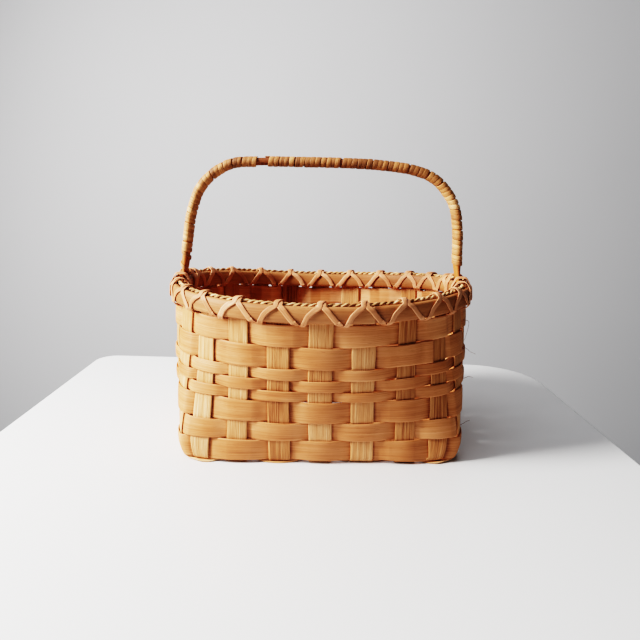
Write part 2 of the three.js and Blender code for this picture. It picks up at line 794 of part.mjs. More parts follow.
// Lengths along the handle where a test on its points first and last holds
function handleSpan(test) {
  const inside = handleLine.lengths.filter((_, index) => test(handleLine.points[index]));
  return [inside[0], inside[inside.length - 1]];
}

function wrapSpans() {
  const gapLeft = BARE_GAP_CENTRE - BARE_GAP_LENGTH / 2;
  const gapRight = BARE_GAP_CENTRE + BARE_GAP_LENGTH / 2;
  const above = (bare) => handleLine.rimTop + bare;
  return {
    left: handleSpan((point) => point.x < gapLeft && point.z > above(BARE_LEFT_LEG)),
    right: handleSpan((point) => point.x > gapRight && point.z > above(BARE_RIGHT_LEG)),
  };
}

// The whole basket

const basket = new THREE.Group();

function addPiece(name, geometry, colour, roughness) {
  const material = new THREE.MeshStandardMaterial({ color: colour, roughness, metalness: 0 });
  const mesh = new THREE.Mesh(geometry, material);
  mesh.name = name;
  basket.add(mesh);
}

eachSideOfMiddle(CROSS_PAIRS).forEach((index, order) => {
  addPiece(`front_to_back_stake_${order + 1}`, crossStake(index), COLOURS.stake, 0.75);
});
eachSideOfMiddle(LONG_PAIRS).forEach((index, order) => {
  addPiece(`end_to_end_stake_${order + 1}`, longStake(index), COLOURS.stake, 0.75);
});
[...ROWS, RIM_ROW].forEach((row) => {
  addPiece(`weaver_row_${row.number}`, weaver(row), COLOURS.weaver, 0.7);
});
addPiece('outer_rim_hoop', outerHoop(), COLOURS.hoop, 0.65);
addPiece('inner_rim_hoop', innerHoop(), COLOURS.hoop, 0.65);
addPiece('rim_filler', rimFiller(), COLOURS.filler, 0.85);
addPiece(
  'rim_lacing_first_pass',
  lacingPass('rim_lacing_first_pass', 0, 'out', 'in', -LACING_SHIFT),
  COLOURS.lacing,
  0.6,
);
addPiece(
  'rim_lacing_return_pass',
  lacingPass('rim_lacing_return_pass', 1, 'in', 'out', LACING_SHIFT),
  COLOURS.lacing,
  0.6,
);
addPiece('handle', handleCore(), COLOURS.handle, 0.6);
const spans = wrapSpans();
addPiece('handle_wrap_left', handleWrap('handle_wrap_left', ...spans.left), COLOURS.wrap, 0.65);
addPiece('handle_wrap_right', handleWrap('handle_wrap_right', ...spans.right), COLOURS.wrap, 0.65);

export default basket;
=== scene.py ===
# Splint basket with an oval rim and a wrapped handle. Each woven or wound piece of the frame is modelled
# again with the finer detail of real splint, cane and cord. Lengths are millimetres until a mesh is made.

import math

import bpy
import numpy as np
from mathutils import Matrix, Vector


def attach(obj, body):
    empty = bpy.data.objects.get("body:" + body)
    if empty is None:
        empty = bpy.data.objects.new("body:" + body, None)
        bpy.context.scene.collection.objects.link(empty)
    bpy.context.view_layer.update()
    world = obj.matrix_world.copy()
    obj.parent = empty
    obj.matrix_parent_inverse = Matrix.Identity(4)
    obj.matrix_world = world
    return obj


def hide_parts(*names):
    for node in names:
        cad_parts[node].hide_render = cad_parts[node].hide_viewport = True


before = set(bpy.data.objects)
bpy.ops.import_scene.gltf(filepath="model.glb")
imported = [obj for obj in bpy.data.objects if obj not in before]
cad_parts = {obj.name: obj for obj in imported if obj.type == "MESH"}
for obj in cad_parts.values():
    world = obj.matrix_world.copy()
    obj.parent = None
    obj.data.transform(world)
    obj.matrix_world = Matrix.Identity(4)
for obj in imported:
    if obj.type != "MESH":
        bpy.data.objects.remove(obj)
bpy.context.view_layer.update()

METRES = 0.001

# Stakes; those that cross the base differ a little in width, from the left to the right
STAKE_WIDTH = 24.0
CROSS_WIDTHS = (21.0, 21.4, 22.8, 24.0, 24.0, 22.4, 21.6)
LONG_WIDTH = 22.5
CROSS_TONES = (0.8, 0.0, -3.8, 0.3, 0.8, -1.6, -1.2)
# How far the uprights from the left of the front to the right end stand on round, at the foot and at the top
LEAN_PLACES = (-8, -6, -4, -2, 0, 2, 4, 6, 8, 10, 12)
FOOT_LEANS = (0.0, 0.5, -2.0, 0.5, 0.0, 0.5, 3.4, -5.6, 0.0, 0.0, 0.0)
TOP_LEANS = (0.0, -2.0, -3.0, -3.3, 0.0, 1.5, 8.0, 12.0, 9.0, 4.0, 0.0)
STAKE_PITCH = 43.0
STAKE_THICKNESS = 1.4
STAKE_CROWN = 0.25
STAKE_PUSH = 0.35
STAKE_UNEVENNESS = 0.012
STAKE_DRIFT = 0.4
CROSS_PAIRS = 3
LONG_PAIRS = 2

# Weaver rows from the bottom up; the last one lies between the rim hoops
ROW_WIDTHS = (20.2, 20.0, 23.7, 11.2, 11.2, 12.0, 23.2, 22.6)
RIM_ROW = (154.2, 168.8)
RIM_ROW_SECTION = (0.9, 0.1)
ROW_TONES = (-1.0, -0.2, -1.4, -1.0, -1.1, -0.8, -0.7, 0.2, 0.0)
# Painted light: how much paler the rows are made round the back, standing in for light on the inside of the
# back wall
BACK_PAINTED_LIGHT = 3.6
WEAVER_THICKNESS = 1.1
WEAVER_CROWN = 0.35
WEAVER_SWING = 2.3
WEAVER_SNAP = 2.2
SNAP_SHARE = 0.2
FOOT_DROP = 3.3
FRONT_LAP_ROW = 7
FRONT_LAP_END = 5.8
ROW_LAP = 1.2
LAP_STEP = 0.62
LOOSE_END_OUT = 2.4
ROW_GAP = 0.2
ROW_WAVE = 0.35
ROW_RAGGEDNESS = 0.07
WALL_FOOT = 6.0
FIRST_ROW = 6.35

# Base, rim oval and handle spread
BASE_HALF_LENGTH = 150.0
BASE_HALF_DEPTH = 103.5
RIM_HALF_LENGTH = 162.0
RIM_HALF_DEPTH = 118.5
RIM_SQUARENESS = 2.12
RIM_FRONT_PITCH = 41.2
END_LIFT = 8.0
FAR_LEFT_LIFT = 3.2
FAR_LEFT_FROM = (20.0, -60.0)
FAR_LEFT_FADE = 110.0
END_BELLY = 6.5
BELLY_FLATNESS = 5.0
BELLY_LOWNESS = 0.7
LOWER_LEVEL = 0.8
UPPER_LEVEL = 2.75
EDGE_SWELL = 8.5
EDGE_ARC = 23.0
# Painted highlight: how much paler the curled outer edge of the outermost long stakes is made, over its wear
EDGE_PAINTED_HIGHLIGHT = 3.0
CORNER_LIFT = 1.5
CORNER_PULL = (10.0, 4.0)
CORNER_FROM = (112.0, 66.0)
CORNER_FADE = (38.0, 36.0)
CORNER_HEIGHT = 30.0

# Rim
STAKE_TOP = 169.1
HOOP_BOTTOM = 154.05
HOOP_TOP = 171.25
HOOP_FACE = 2.9
HOOP_MIDDLE = (HOOP_BOTTOM + HOOP_TOP) / 2
HOOP_DEPTH = 6.0
HOOP_BULGE = 2.6
HOOP_LAP = 1.5
FILLER_HEIGHT = 171.8
FILLER_RISE = 2.1
FILLER_STRAND = 2.5
FILLER_LAY = 15.0
LACING_WIDTH = 5.3
LACING_THICKNESS = 0.6
LACING_RIDGE = 0.25
LACING_CLEARANCE = 0.2
LACING_FOOT = 0.23
LACING_ASIDE = 0.444

# Handle
TAIL_OFFSET = 3.15
TAIL_PASS = 6.1
TAIL_LENGTH = 86.0
TAIL_SIZE = (4.0, 16.0)
HANDLE_SIZE = (8.6, 15.0)
HANDLE_ROUNDING = 0.9
HANDLE_SPREAD = 157.0
HANDLE_RISE = 132.2
SHOULDER_RISE = 22.0
HANDLE_OUTLINE = (
    (-1, 0.141), (-0.976, 0.35), (-0.94, 0.58), (-0.872, 0.78), (-0.771, 0.904), (-0.64, 0.982), (-0.45, 1),
    (-0.1, 1), (0.2, 0.995), (0.45, 0.979), (0.64, 0.948), (0.775, 0.893), (0.872, 0.8), (0.952, 0.655),
    (0.988, 0.44), (1, 0.141),
)
WRAP_TURNS_LEFT = 27
WRAP_TURNS_RIGHT = 51
LEG_TURNS = 2
# How high over the rim the handle's darker top begins, and how much darker it makes the wraps
DARKENING_RISE = 96.0
TOP_DARKENING = 3.0
WRAP_GAP = (-74.4, -61.5)
BARE_LEFT_LEG = 31.0
BARE_RIGHT_LEG = 21.0

# Uprights count round from the middle of the front; two units of the way round lie between uprights
UPRIGHTS = 24
RIGHT_END = 6
BACK = 12
LEFT_END = 18
UNITS = 2 * UPRIGHTS
FLAT_PER_UNIT = 26.0
SAMPLES = 24


def stack_rows():
    """Bottom and top of each row, with the row that the rim hides as the last"""
    rows = []
    bottom = FIRST_ROW
    for width in ROW_WIDTHS:
        rows.append((bottom, bottom + width))
        bottom += width + ROW_GAP
    return rows + [RIM_ROW]


ROWS = stack_rows()


def ease(share):
    share = np.clip(share, 0.0, 1.0)
    return share * share * (3 - 2 * share)


def unit(vectors):
    return vectors / np.linalg.norm(vectors, axis=-1, keepdims=True)


def walked_length(points):
    steps = np.linalg.norm(np.diff(points, axis=0), axis=1)
    return np.concatenate([[0.0], np.cumsum(steps)])


def rows_at(place, knots, rows):
    """Rows of numbers read off between the knots they are given at"""
    return np.stack([np.interp(place, knots, column) for column in rows.T], axis=-1)


def wander(place, period, seed, waves=24, roughness=0.5):
    """Smooth random variation with a given period and a spread of about one, the same in each run"""
    rng = np.random.default_rng(seed)
    total = np.zeros(np.shape(place))
    power = 0.0
    for wave in range(1, waves + 1):
        size = wave ** -roughness
        power += size * size / 2
        phase = rng.uniform(0, 2 * math.pi)
        total = total + size * np.cos(2 * math.pi * wave * np.asarray(place) / period + phase)
    return total / math.sqrt(power)


# Shape of the wall

def rim_oval():
    """Lengths walked round the rim oval from the middle of the front, and the points there"""
    angles = np.linspace(-math.pi / 2, 1.5 * math.pi, 5761)
    power = 2 / RIM_SQUARENESS
    across, along = np.cos(angles), np.sin(angles)
    points = np.stack([
        RIM_HALF_LENGTH * np.sign(across) * np.abs(across) ** power,
        RIM_HALF_DEPTH * np.sign(along) * np.abs(along) ** power,
    ], axis=-1)
    return walked_length(points), points


OVAL_LENGTHS, OVAL_POINTS = rim_oval()
OVAL_LENGTH = OVAL_LENGTHS[-1]


def oval_at(length):
    return rows_at(np.mod(length, OVAL_LENGTH), OVAL_LENGTHS, OVAL_POINTS)


def length_to_upright(index):
    quarter = OVAL_LENGTH / 4
    if index > BACK:
        return 2 * quarter + length_to_upright(index - BACK)
    if index > RIGHT_END:
        return 2 * quarter - length_to_upright(BACK - index)
    end_pitch = (quarter - CROSS_PAIRS * RIM_FRONT_PITCH) / (LONG_PAIRS + 1)
    return min(index, CROSS_PAIRS) * RIM_FRONT_PITCH + max(index - CROSS_PAIRS, 0) * end_pitch


def foot_of(index):
    """Foot of an upright on the base edge, and the way that edge runs, alike after half a turn"""
    index = (index + CROSS_PAIRS) % UPRIGHTS - CROSS_PAIRS
    if index > RIGHT_END + LONG_PAIRS:
        foot, run = foot_of(index - BACK)
        return -foot, -run
    if index > CROSS_PAIRS:
        return np.array([BASE_HALF_LENGTH, (index - RIGHT_END) * STAKE_PITCH]), np.array([0.0, 1.0])
    return np.array([index * STAKE_PITCH, -BASE_HALF_DEPTH]), np.array([1.0, 0.0])


def bezier(start, start_handle, end_handle, end, share):
    rest = 1 - share
    return (rest ** 3 * start + 3 * rest ** 2 * share * start_handle
            + 3 * rest * share ** 2 * end_handle + share ** 3 * end)


def plan_tables():
    """Plan points of the base edge and of the rim at even steps round the basket"""
    half = FLAT_PER_UNIT / 2
    feet, tops = [], []
    for step in range(UNITS * SAMPLES):
        place = step / SAMPLES
        index = round(place / 2)
        along = (place - 2 * index) * FLAT_PER_UNIT
        foot, run = foot_of(index)
        length = length_to_upright(index % UPRIGHTS)
        if abs(along) <= half:
            feet.append(foot + run * along)
            tops.append(oval_at(length + along))
            continue
        first = index if along > 0 else index - 1
        share = place - 2 * first - 0.5
        foot, run = foot_of(first)
        next_foot, next_run = foot_of(first + 1)
        start, end = foot + run * half, next_foot - next_run * half
        reach = 0.26 * np.linalg.norm(end - start)
        feet.append(bezier(start, start + run * reach, end - next_run * reach, end, share))
        from_length = length_to_upright(first % UPRIGHTS) + half
        gap = (length_to_upright((first + 1) % UPRIGHTS) - half - from_length) % OVAL_LENGTH
        tops.append(oval_at(from_length + gap * share))
    return np.array(feet), np.array(tops)


FEET, TOPS = plan_tables()
FOOT_STEPS = np.roll(FEET, -1, axis=0) - np.roll(FEET, 1, axis=0)
TOP_STEPS = np.roll(TOPS, -1, axis=0) - np.roll(TOPS, 1, axis=0)


def look_up(table, place):
    scaled = np.mod(place, UNITS) * SAMPLES
    index = np.floor(scaled).astype(int)
    share = (scaled - index)[..., None]
    count = len(table)
    return table[index % count] * (1 - share) + table[(index + 1) % count] * share


def from_handle(place):
    """Units of the way round to the nearer of the uprights that hold the handle"""
    return np.min([np.abs(np.mod(place - 2 * index + UPRIGHTS, UNITS) - UPRIGHTS)
                   for index in (RIGHT_END, LEFT_END)], axis=0)


def front_lean(place, height):
    """How far the weave stands on round at a place, as the uprights of the front aren't quite even"""
    signed = np.mod(np.asarray(place) + UPRIGHTS, UNITS) - UPRIGHTS
    foot, top = (np.interp(signed, LEAN_PLACES, leans) for leans in (FOOT_LEANS, TOP_LEANS))
    return foot + (top - foot) * np.clip(height / HOOP_TOP, 0, 1)


def belly_at(foot, run, height):
    """How far an end wall swells out between the base and the rim"""
    fade = np.abs(foot[..., 1] / BASE_HALF_DEPTH) ** BELLY_FLATNESS
    swell = np.sin(math.pi * np.clip(height / HOOP_TOP, 0, 1) ** BELLY_LOWNESS)
    return END_BELLY * (1 - fade) * swell * unit(run)[..., 1]


def wall_frame(place, height):
    """Plan point on the middle of the wall, its run and how much the height stretches there"""
    place, height = np.broadcast_arrays(np.asarray(place, float), np.asarray(height, float))
    bow = np.sin(math.pi / 2 * np.clip(height / HOOP_TOP, 0, 1))[..., None]
    foot, foot_run, top = (look_up(table, place) for table in (FEET, FOOT_STEPS, TOPS))
    point = foot * (1 - bow) + top * bow
    point[..., 0] += belly_at(foot, foot_run, height)
    run = unit(foot_run * (1 - bow) + look_up(TOP_STEPS, place) * bow)
    away = ease((top * (-1, 1) - FAR_LEFT_FROM) / FAR_LEFT_FADE)
    far_left = away[..., 0] * away[..., 1]
    lift = END_LIFT * (top[..., 0] / RIM_HALF_LENGTH) ** 2 + FAR_LEFT_LIFT * far_left
    return point, run, 1 + lift / HOOP_TOP


def wall(place, height, out):
    """Points on the wall: how far round, how high, and how far out from its middle"""
    place, height, out = np.broadcast_arrays(*(np.asarray(a, float) for a in (place, height, out)))
    point, run, stretch = wall_frame(place, height)
    return np.stack([
        point[..., 0] + run[..., 1] * out,
        point[..., 1] - run[..., 0] * out,
        height * stretch,
    ], axis=-1)


# Meshes

def strip_section(thickness, crown):
    """Round a flat strip: share of its half width, distance off its middle, and how near an edge"""
    face = np.array([-0.97, -0.85, -0.5, 0.0, 0.5, 0.85, 0.97])
    front = thickness / 2 + crown * (1 - face ** 2)
    back = -thickness / 2 + 0.6 * crown * (1 - face ** 2)
    shares = np.concatenate([face, [1.0], face[::-1], [-1.0]])
    offsets = np.concatenate([front, [0.0], back[::-1], [0.0]])
    return shares, offsets, ease((np.abs(shares) - 0.75) / 0.25)


def strip(points, across, edges, tone, seed):
    """A closed strip from rows of section points, with its grain coordinates, edges and tone"""
    along = walked_length(points.mean(axis=1))[:, None]
    values = {"along": along + 137.0 * seed, "across": across + 31.0 * seed, "edges": edges,
              "tone": np.reshape(tone, (-1, 1))}
    spread = {key: np.broadcast_to(value, points.shape[:2]) for key, value in values.items()}
    return {"points": points, **spread}


def strip_faces(stations, count, first):
    """Quads along a strip and a cap at each end"""
    rows = first + np.arange(stations - 1)[:, None] * count
    sides = np.arange(count)[None, :]
    following = (sides + 1) % count
    quads = np.stack([rows + sides, rows + following, rows + count + following, rows + count + sides], -1)
    last = first + (stations - 1) * count
    caps = [list(range(first + count - 1, first - 1, -1)), list(range(last, last + count))]
    return quads.reshape(-1, 4), caps


def ribbon(centre, across, face, half, shares, offsets):
    """Section points of a flat strand from its path, its ways across and off its face, and its half widths"""
    return (centre[:, None, :] + across[:, None, :] * (half[:, None] * shares[None, :])[..., None]
            + face[:, None, :] * offsets[None, :, None])


def faces_inward(points, quads):
    corners = points[quads]
    crosses = np.cross(corners[:, 2] - corners[:, 0], corners[:, 3] - corners[:, 1])
    return float(np.sum(corners.mean(axis=1) * crosses)) < 0


def round_corners(points):
    """Points with those near the base's corners drawn in and raised, where the splints curl off the table"""
    away = ease((np.abs(points[:, :2]) - CORNER_FROM) / CORNER_FADE)
    near = away[:, 0] * away[:, 1] * np.clip(1 - points[:, 2] / CORNER_HEIGHT, 0, 1) ** 2
    rounded = points.copy()
    rounded[:, :2] -= np.sign(points[:, :2]) * CORNER_PULL * near[:, None]
    rounded[:, 2] += CORNER_LIFT * near
    return rounded


def add_object(name, data):
    added = bpy.data.objects.new(name, data)
    bpy.context.scene.collection.objects.link(added)
    return added


def make_piece(name, strips, material, replaced):
    """One object from one or more strips; it rides on the body and stands for the nodes it replaces"""
    points, faces, offset = [], [], 0
    for piece in strips:
        stations, count = piece["points"].shape[:2]
        quads, caps = strip_faces(stations, count, offset)
        local = round_corners(piece["points"].reshape(-1, 3))
        if faces_inward(local, quads - offset):
            quads = quads[:, ::-1]
            caps = [cap[::-1] for cap in caps]
        faces += quads.tolist() + caps
        points.append(local)
        offset += len(local)
    mesh = bpy.data.meshes.new(name)
    mesh.from_pydata((np.concatenate(points) * METRES).tolist(), [], faces)
    mesh.polygons.foreach_set("use_smooth", np.ones(len(mesh.polygons), bool))
    flat = {key: np.concatenate([piece[key].reshape(-1) for piece in strips])
            for key in ("along", "across", "edges", "tone")}
    corner = np.zeros(len(mesh.loops), np.int32)
    mesh.loops.foreach_get("vertex_index", corner)
    grain = np.stack([flat["along"], flat["across"]], axis=-1)[corner] * METRES
    mesh.uv_layers.new(name="Grain").data.foreach_set("uv", grain.reshape(-1).astype(np.float32))
    for key in ("edges", "tone"):
        attribute = mesh.attributes.new(key, "FLOAT", "POINT")
        attribute.data.foreach_set("value", flat[key].astype(np.float32))
    mesh.materials.append(material)
    piece = add_object(name, mesh)
    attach(piece, "root")
    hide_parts(*replaced)


# Materials

def srgb(red, green, blue):
    """A colour given in the 0 to 255 values of a picture, as linear light"""
    linear = [((c / 255 + 0.055) / 1.055) ** 2.4 if c > 10 else c / 255 / 12.92 for c in (red, green, blue)]
    return (*linear, 1.0)


class Shader:
    """A material, with short calls that add and join its nodes"""

    def __init__(self, name, source, output, **settings):
        self.material = bpy.data.materials.new(name)
        self.material.use_nodes = True
        self.tree = self.material.node_tree
        self.surface = self.tree.nodes["Principled BSDF"]
        self.place = self.add(source, {}, **settings).outputs[output]

    def put(self, sockets, values):
        """Sets each socket to its value, or joins it to the output given for it"""
        for key, value in values.items():
            if isinstance(value, bpy.types.NodeSocket):
                self.tree.links.new(value, sockets[key])
            else:
                sockets[key].default_value = value

    def add(self, kind, values, **settings):
        node = self.tree.nodes.new("ShaderNode" + kind)
        for name, setting in settings.items():
            setattr(node, name, setting)
        self.put(node.inputs, values)
        return node

    def attribute(self, name):
        return self.add("Attribute", {}, attribute_name=name).outputs["Fac"]

    def noise(self, along, across, shift=0.0, detail=3.0):
        """Noise with so many features a metre along and across the grain"""
        scales, shifts = (along, across, 0.0), (shift, shift * 1.7, shift * 0.6)
        scaled = self.add("VectorMath", {0: self.place, 1: scales, 2: shifts}, operation="MULTIPLY_ADD")
        values = {"Vector": scaled.outputs[0], "Scale": 1.0, "Detail": detail, "Roughness": 0.55}
        return self.add("TexNoise", values).outputs["Fac"]

    def math(self, operation, *values):
        return self.add("Math", dict(enumerate(values)), operation=operation).outputs[0]

    def blend(self, parts):
        """Weighted sum of values, each about its middle of one half"""
        total = 0.5
        for value, weight in parts:
            centred = self.math("SUBTRACT", value, 0.5)
            total = self.math("MULTIPLY_ADD", centred, weight, total)
        return total

    def ramp(self, value, stops):
        node = self.add("ValToRGB", {0: value})
        elements = node.color_ramp.elements
        while len(elements) < len(stops):
            elements.new(0.5)
        for element, (position, colour) in zip(elements, stops):
            element.position = position
            element.color = srgb(*colour)
        return node.outputs["Color"]

    def mix(self, share, first, second):
        return self.add("Mix", {0: share, 6: first, 7: second}, data_type="RGBA").outputs[2]

    def limits(self, value, low, high):
        return self.add("MapRange", {"Value": value, "To Min": low, "To Max": high}).outputs["Result"]

    def finish(self, colour, roughness, height, depth):
        """Joins colour, roughness and a bump of so many millimetres to the surface"""
        bump = self.add("Bump", {"Strength": 1.0, "Distance": depth * METRES, "Height": height})
        self.put(self.surface.inputs,
                 {"Base Color": colour, "Roughness": roughness, "Normal": bump.outputs["Normal"]})
        return self.material


# Colours from dark to light, the weight of the ridges, how many there are in a metre, and their depth
SPLINTS = {
    "stake_splint": ([(134, 72, 32), (184, 120, 72), (210, 148, 99), (236, 186, 138)], 1.0, 900, 0.8),
    "weaver_splint": ([(128, 66, 30), (184, 115, 68), (210, 142, 95), (238, 180, 136)], 0.55, 1100, 0.26),
    "hoop_wood": ([(104, 56, 26), (150, 92, 54), (174, 114, 72), (208, 152, 108)], 0.4, 800, 0.18),
    "cane_lacing": ([(126, 70, 40), (186, 120, 80), (214, 149, 110), (242, 187, 148)], 0.5, 1500, 0.2),
    "handle_wood": ([(104, 50, 18), (160, 90, 42), (188, 114, 58), (214, 144, 86)], 0.5, 900, 0.2),
    "wrap_splint": ([(100, 58, 32), (168, 110, 66), (208, 148, 98), (240, 188, 138)], 0.6, 1300, 0.25),
}
SEAGRASS = [(124, 80, 42), (196, 146, 96), (238, 200, 152)]


def splint_material(name):
    """Split wood: long fibres, wider growth bands, blotches, and worn pale edges, which on the outermost long
    stakes are made paler still as a painted highlight
    """
    colours, ridge_weight, ridges_per_metre, depth = SPLINTS[name]
    shader = Shader(name, "UVMap", "UV", uv_map="Grain")
    fibres = shader.noise(16, ridges_per_metre, detail=2.0)
    hairs = shader.noise(40, ridges_per_metre * 2.6, shift=3.1, detail=2.0)
    bands = shader.noise(7, 230, shift=7.7)
    blotches = shader.noise(28, 45, shift=11.3)
    tone = shader.attribute("tone")
    edges = shader.attribute("edges")
    value = shader.blend([
        (fibres, ridge_weight), (hairs, 0.5 * ridge_weight), (bands, 0.42), (blotches, 0.3),
    ])
    value = shader.math("MULTIPLY_ADD", tone, 0.06, value)
    wear_and_highlight = shader.math("MULTIPLY", edges, shader.noise(60, 300, shift=5.0))
    value = shader.math("MULTIPLY_ADD", wear_and_highlight, 0.14, value)
    colour = shader.ramp(value, list(zip((0.1, 0.38, 0.62, 0.9), colours)))
    pores = shader.noise(110, 1500, shift=19.0, detail=1.0)
    dark = shader.math("MULTIPLY", shader.math("LESS_THAN", pores, 0.3), 0.35)
    colour = shader.mix(dark, colour, srgb(*colours[0]))
    height = shader.blend([(fibres, 1.0), (hairs, 0.35), (bands, 0.6)])
    shader.put(shader.surface.inputs, {"Specular IOR Level": 0.35})
    return shader.finish(colour, shader.limits(bands, 0.5, 0.72), height, depth)


def cord_material():
    """Twisted grass: fine threads along each ply, straw to brown"""
    shader = Shader("seagrass", "UVMap", "UV", uv_map="Grain")
    threads = shader.noise(60, 1800)
    patches = shader.noise(45, 90, shift=4.0)
    value = shader.blend([(threads, 0.9), (patches, 0.7)])
    value = shader.math("MULTIPLY_ADD", shader.attribute("tone"), 0.15, value)
    colour = shader.ramp(value, list(zip((0.15, 0.5, 0.85), SEAGRASS)))
    return shader.finish(colour, shader.limits(threads, 0.7, 0.9), threads, 0.5)


def plain_material(name, colour, roughness):
    """A smooth surface whose shade varies very slightly"""
    shader = Shader(name, "TexCoord", "Object")
    noise = shader.add("TexNoise", {"Vector": shader.place, "Scale": 2.2})
    darker = (*(c * 0.96 for c in colour[:3]), 1.0)
    shade = shader.mix(noise.outputs["Fac"], colour, darker)
    shader.put(shader.surface.inputs, {"Base Color": shade, "Roughness": roughness})
    return shader.material


# Stakes

def stake_out(index, height):
    """How far the rows push a stake in or out at a height"""
    knots, pushes = [], []
    for number, (bottom, top) in enumerate(ROWS, start=1):
        row_is_outside = (number + index) % 2 == 1
        reach = min(3.0, (top - bottom) / 3)
        knots += [bottom + reach, top - reach]
        pushes += [-STAKE_PUSH if row_is_outside else STAKE_PUSH] * 2
    return np.interp(height, knots, pushes)


def stake_wall(index, turn, width, seed):
    """Section points up one wall; turn is 1 where the strip's right lies the way the wall runs"""
    heights = np.arange(WALL_FOOT + 0.8, STAKE_TOP, 1.6)
    shares, offsets, _ = strip_section(STAKE_THICKNESS, STAKE_CROWN)
    half = width / 2 * (1 + STAKE_UNEVENNESS * wander(heights, 400, seed))
    drift = STAKE_DRIFT * wander(heights, 600, seed + 1, waves=5)
    along = (shares[None, :] * half[:, None] + drift[:, None]) * turn
    along = along + front_lean(2 * index, heights)[:, None]
    out = stake_out(index, heights)[:, None] + offsets[None, :]
    return wall(2 * index + along / FLAT_PER_UNIT, heights[:, None], out)


def base_profile(levels, start_reach, end_reach):
    """Distance and height of a stake's middle over the base, with a bend at each end"""
    def bend(reach, level):
        radius = WALL_FOOT - level
        turn = np.radians([12.0, 26.0, 40.0, 54.0, 68.0, 80.0])
        return np.stack([reach - radius + radius * np.sin(turn), WALL_FOOT - radius * np.cos(turn)], axis=-1)

    flat = np.arange(-start_reach + WALL_FOOT, end_reach - WALL_FOOT + 0.01, 2.0)
    half = STAKE_WIDTH / 2 + 1
    knots = [place + side for place, _ in levels for side in (-half, half)]
    values = np.repeat([level for _, level in levels], 2)
    middle = np.stack([flat, np.interp(flat, knots, values)], axis=-1)
    start = bend(start_reach, values[0])[::-1] * (-1, 1)
    return np.concatenate([start, middle, bend(end_reach, values[-1])])


def edge_swell(distance, offset, shares):
    """How far the outer edge of the outermost long stakes spreads under the cross stakes over them"""
    if abs(offset) < (LONG_PAIRS - 0.5) * STAKE_PITCH:
        return np.zeros((len(distance), len(shares)))
    under = np.abs(np.mod(distance, 2 * STAKE_PITCH) - STAKE_PITCH)
    arc = np.sqrt(np.clip(1 - (under / EDGE_ARC) ** 2, 0, 1))
    arc = arc * np.interp(distance / STAKE_PITCH, [-1, 1, 3], [1, 0.3, 1])
    return np.sign(offset) * EDGE_SWELL * arc[:, None] * np.clip(shares * np.sign(offset), 0, 1) ** 2


def stake(name, start_index, end_index, offset, levels, kind, seed, material):
    """One stake: down one wall, over the base and up the far wall; kind is its width and its tone"""
    width, shade = kind
    is_cross = "front_to_back" in name
    turn = 1 if is_cross else -1
    ends = [abs(wall(2 * index, WALL_FOOT, 0)[1 if is_cross else 0]) for index in (start_index, end_index)]
    start_wall = stake_wall(start_index, turn, width, seed)[::-1]
    end_wall = stake_wall(end_index, -turn, width, seed + 5)
    profile = base_profile(levels, *ends)
    steps = unit(np.gradient(profile, axis=0))
    shares, offsets, edges = strip_section(STAKE_THICKNESS, 0.0)
    half = width / 2 * (1 + STAKE_UNEVENNESS * wander(profile[:, 0], 400, seed + 2))
    distance = profile[:, :1] + steps[:, 1:] * offsets[None, :]
    height = profile[:, 1:] - steps[:, :1] * offsets[None, :]
    side = offset + half[:, None] * shares
    wear_and_highlight = np.ones(side.shape)
    if is_cross:
        side = side + front_lean(2 * start_index, 0.0) * ease(-(profile[:, :1] + 40) / 60)
    else:
        swell = edge_swell(profile[:, 0], offset, shares)
        side = side + swell
        # Painted highlight on the curled outer edge, on top of its wear
        wear_and_highlight = 1 + EDGE_PAINTED_HIGHLIGHT * np.abs(swell) / EDGE_SWELL
    wear_and_highlight = np.concatenate([np.ones_like(start_wall[..., 0]), wear_and_highlight, np.ones_like(end_wall[..., 0])])
    parts = [side, distance, height] if is_cross else [distance, side, height]
    base = np.stack(parts, axis=-1)
    points = np.concatenate([start_wall, base, end_wall])
    tone = shade + wander(walked_length(points.mean(axis=1)), 900, seed + 3, waves=12)
    piece = strip(points, shares * width / 2, edges * wear_and_highlight, tone, seed)
    order = name.rsplit("_", 1)[1]
    looks = ("cross_splint_" if is_cross else "long_splint_") + order
    make_piece(looks, [piece], material, [name])


def base_level(cross, long, is_cross):
    cross_on_top = abs(cross + long) % 2 == 1
    return UPPER_LEVEL if cross_on_top == is_cross else LOWER_LEVEL


def make_stakes(material):
    longs = range(-LONG_PAIRS, LONG_PAIRS + 1)
    crosses = range(-CROSS_PAIRS, CROSS_PAIRS + 1)
    for order, cross in enumerate(crosses, start=1):
        levels = [(long * STAKE_PITCH, base_level(cross, long, True)) for long in longs]
        stake(f"front_to_back_stake_{order}", cross, BACK - cross, cross * STAKE_PITCH, levels,
              (CROSS_WIDTHS[order - 1], CROSS_TONES[order - 1]), 100 + 7 * order, material)
    for order, long in enumerate(longs, start=1):
        levels = [(cross * STAKE_PITCH, base_level(cross, long, False)) for cross in crosses]
        stake(f"end_to_end_stake_{order}", LEFT_END - long, RIGHT_END + long, long * STAKE_PITCH, levels,
              (LONG_WIDTH, 0.0), 200 + 7 * order, material)


# Weaver rows

def tail_share(place):
    """One where a handle tail lies inside the wall, falling to nothing before the next upright"""
    return ease((1.0 - from_handle(place)) / 0.6)


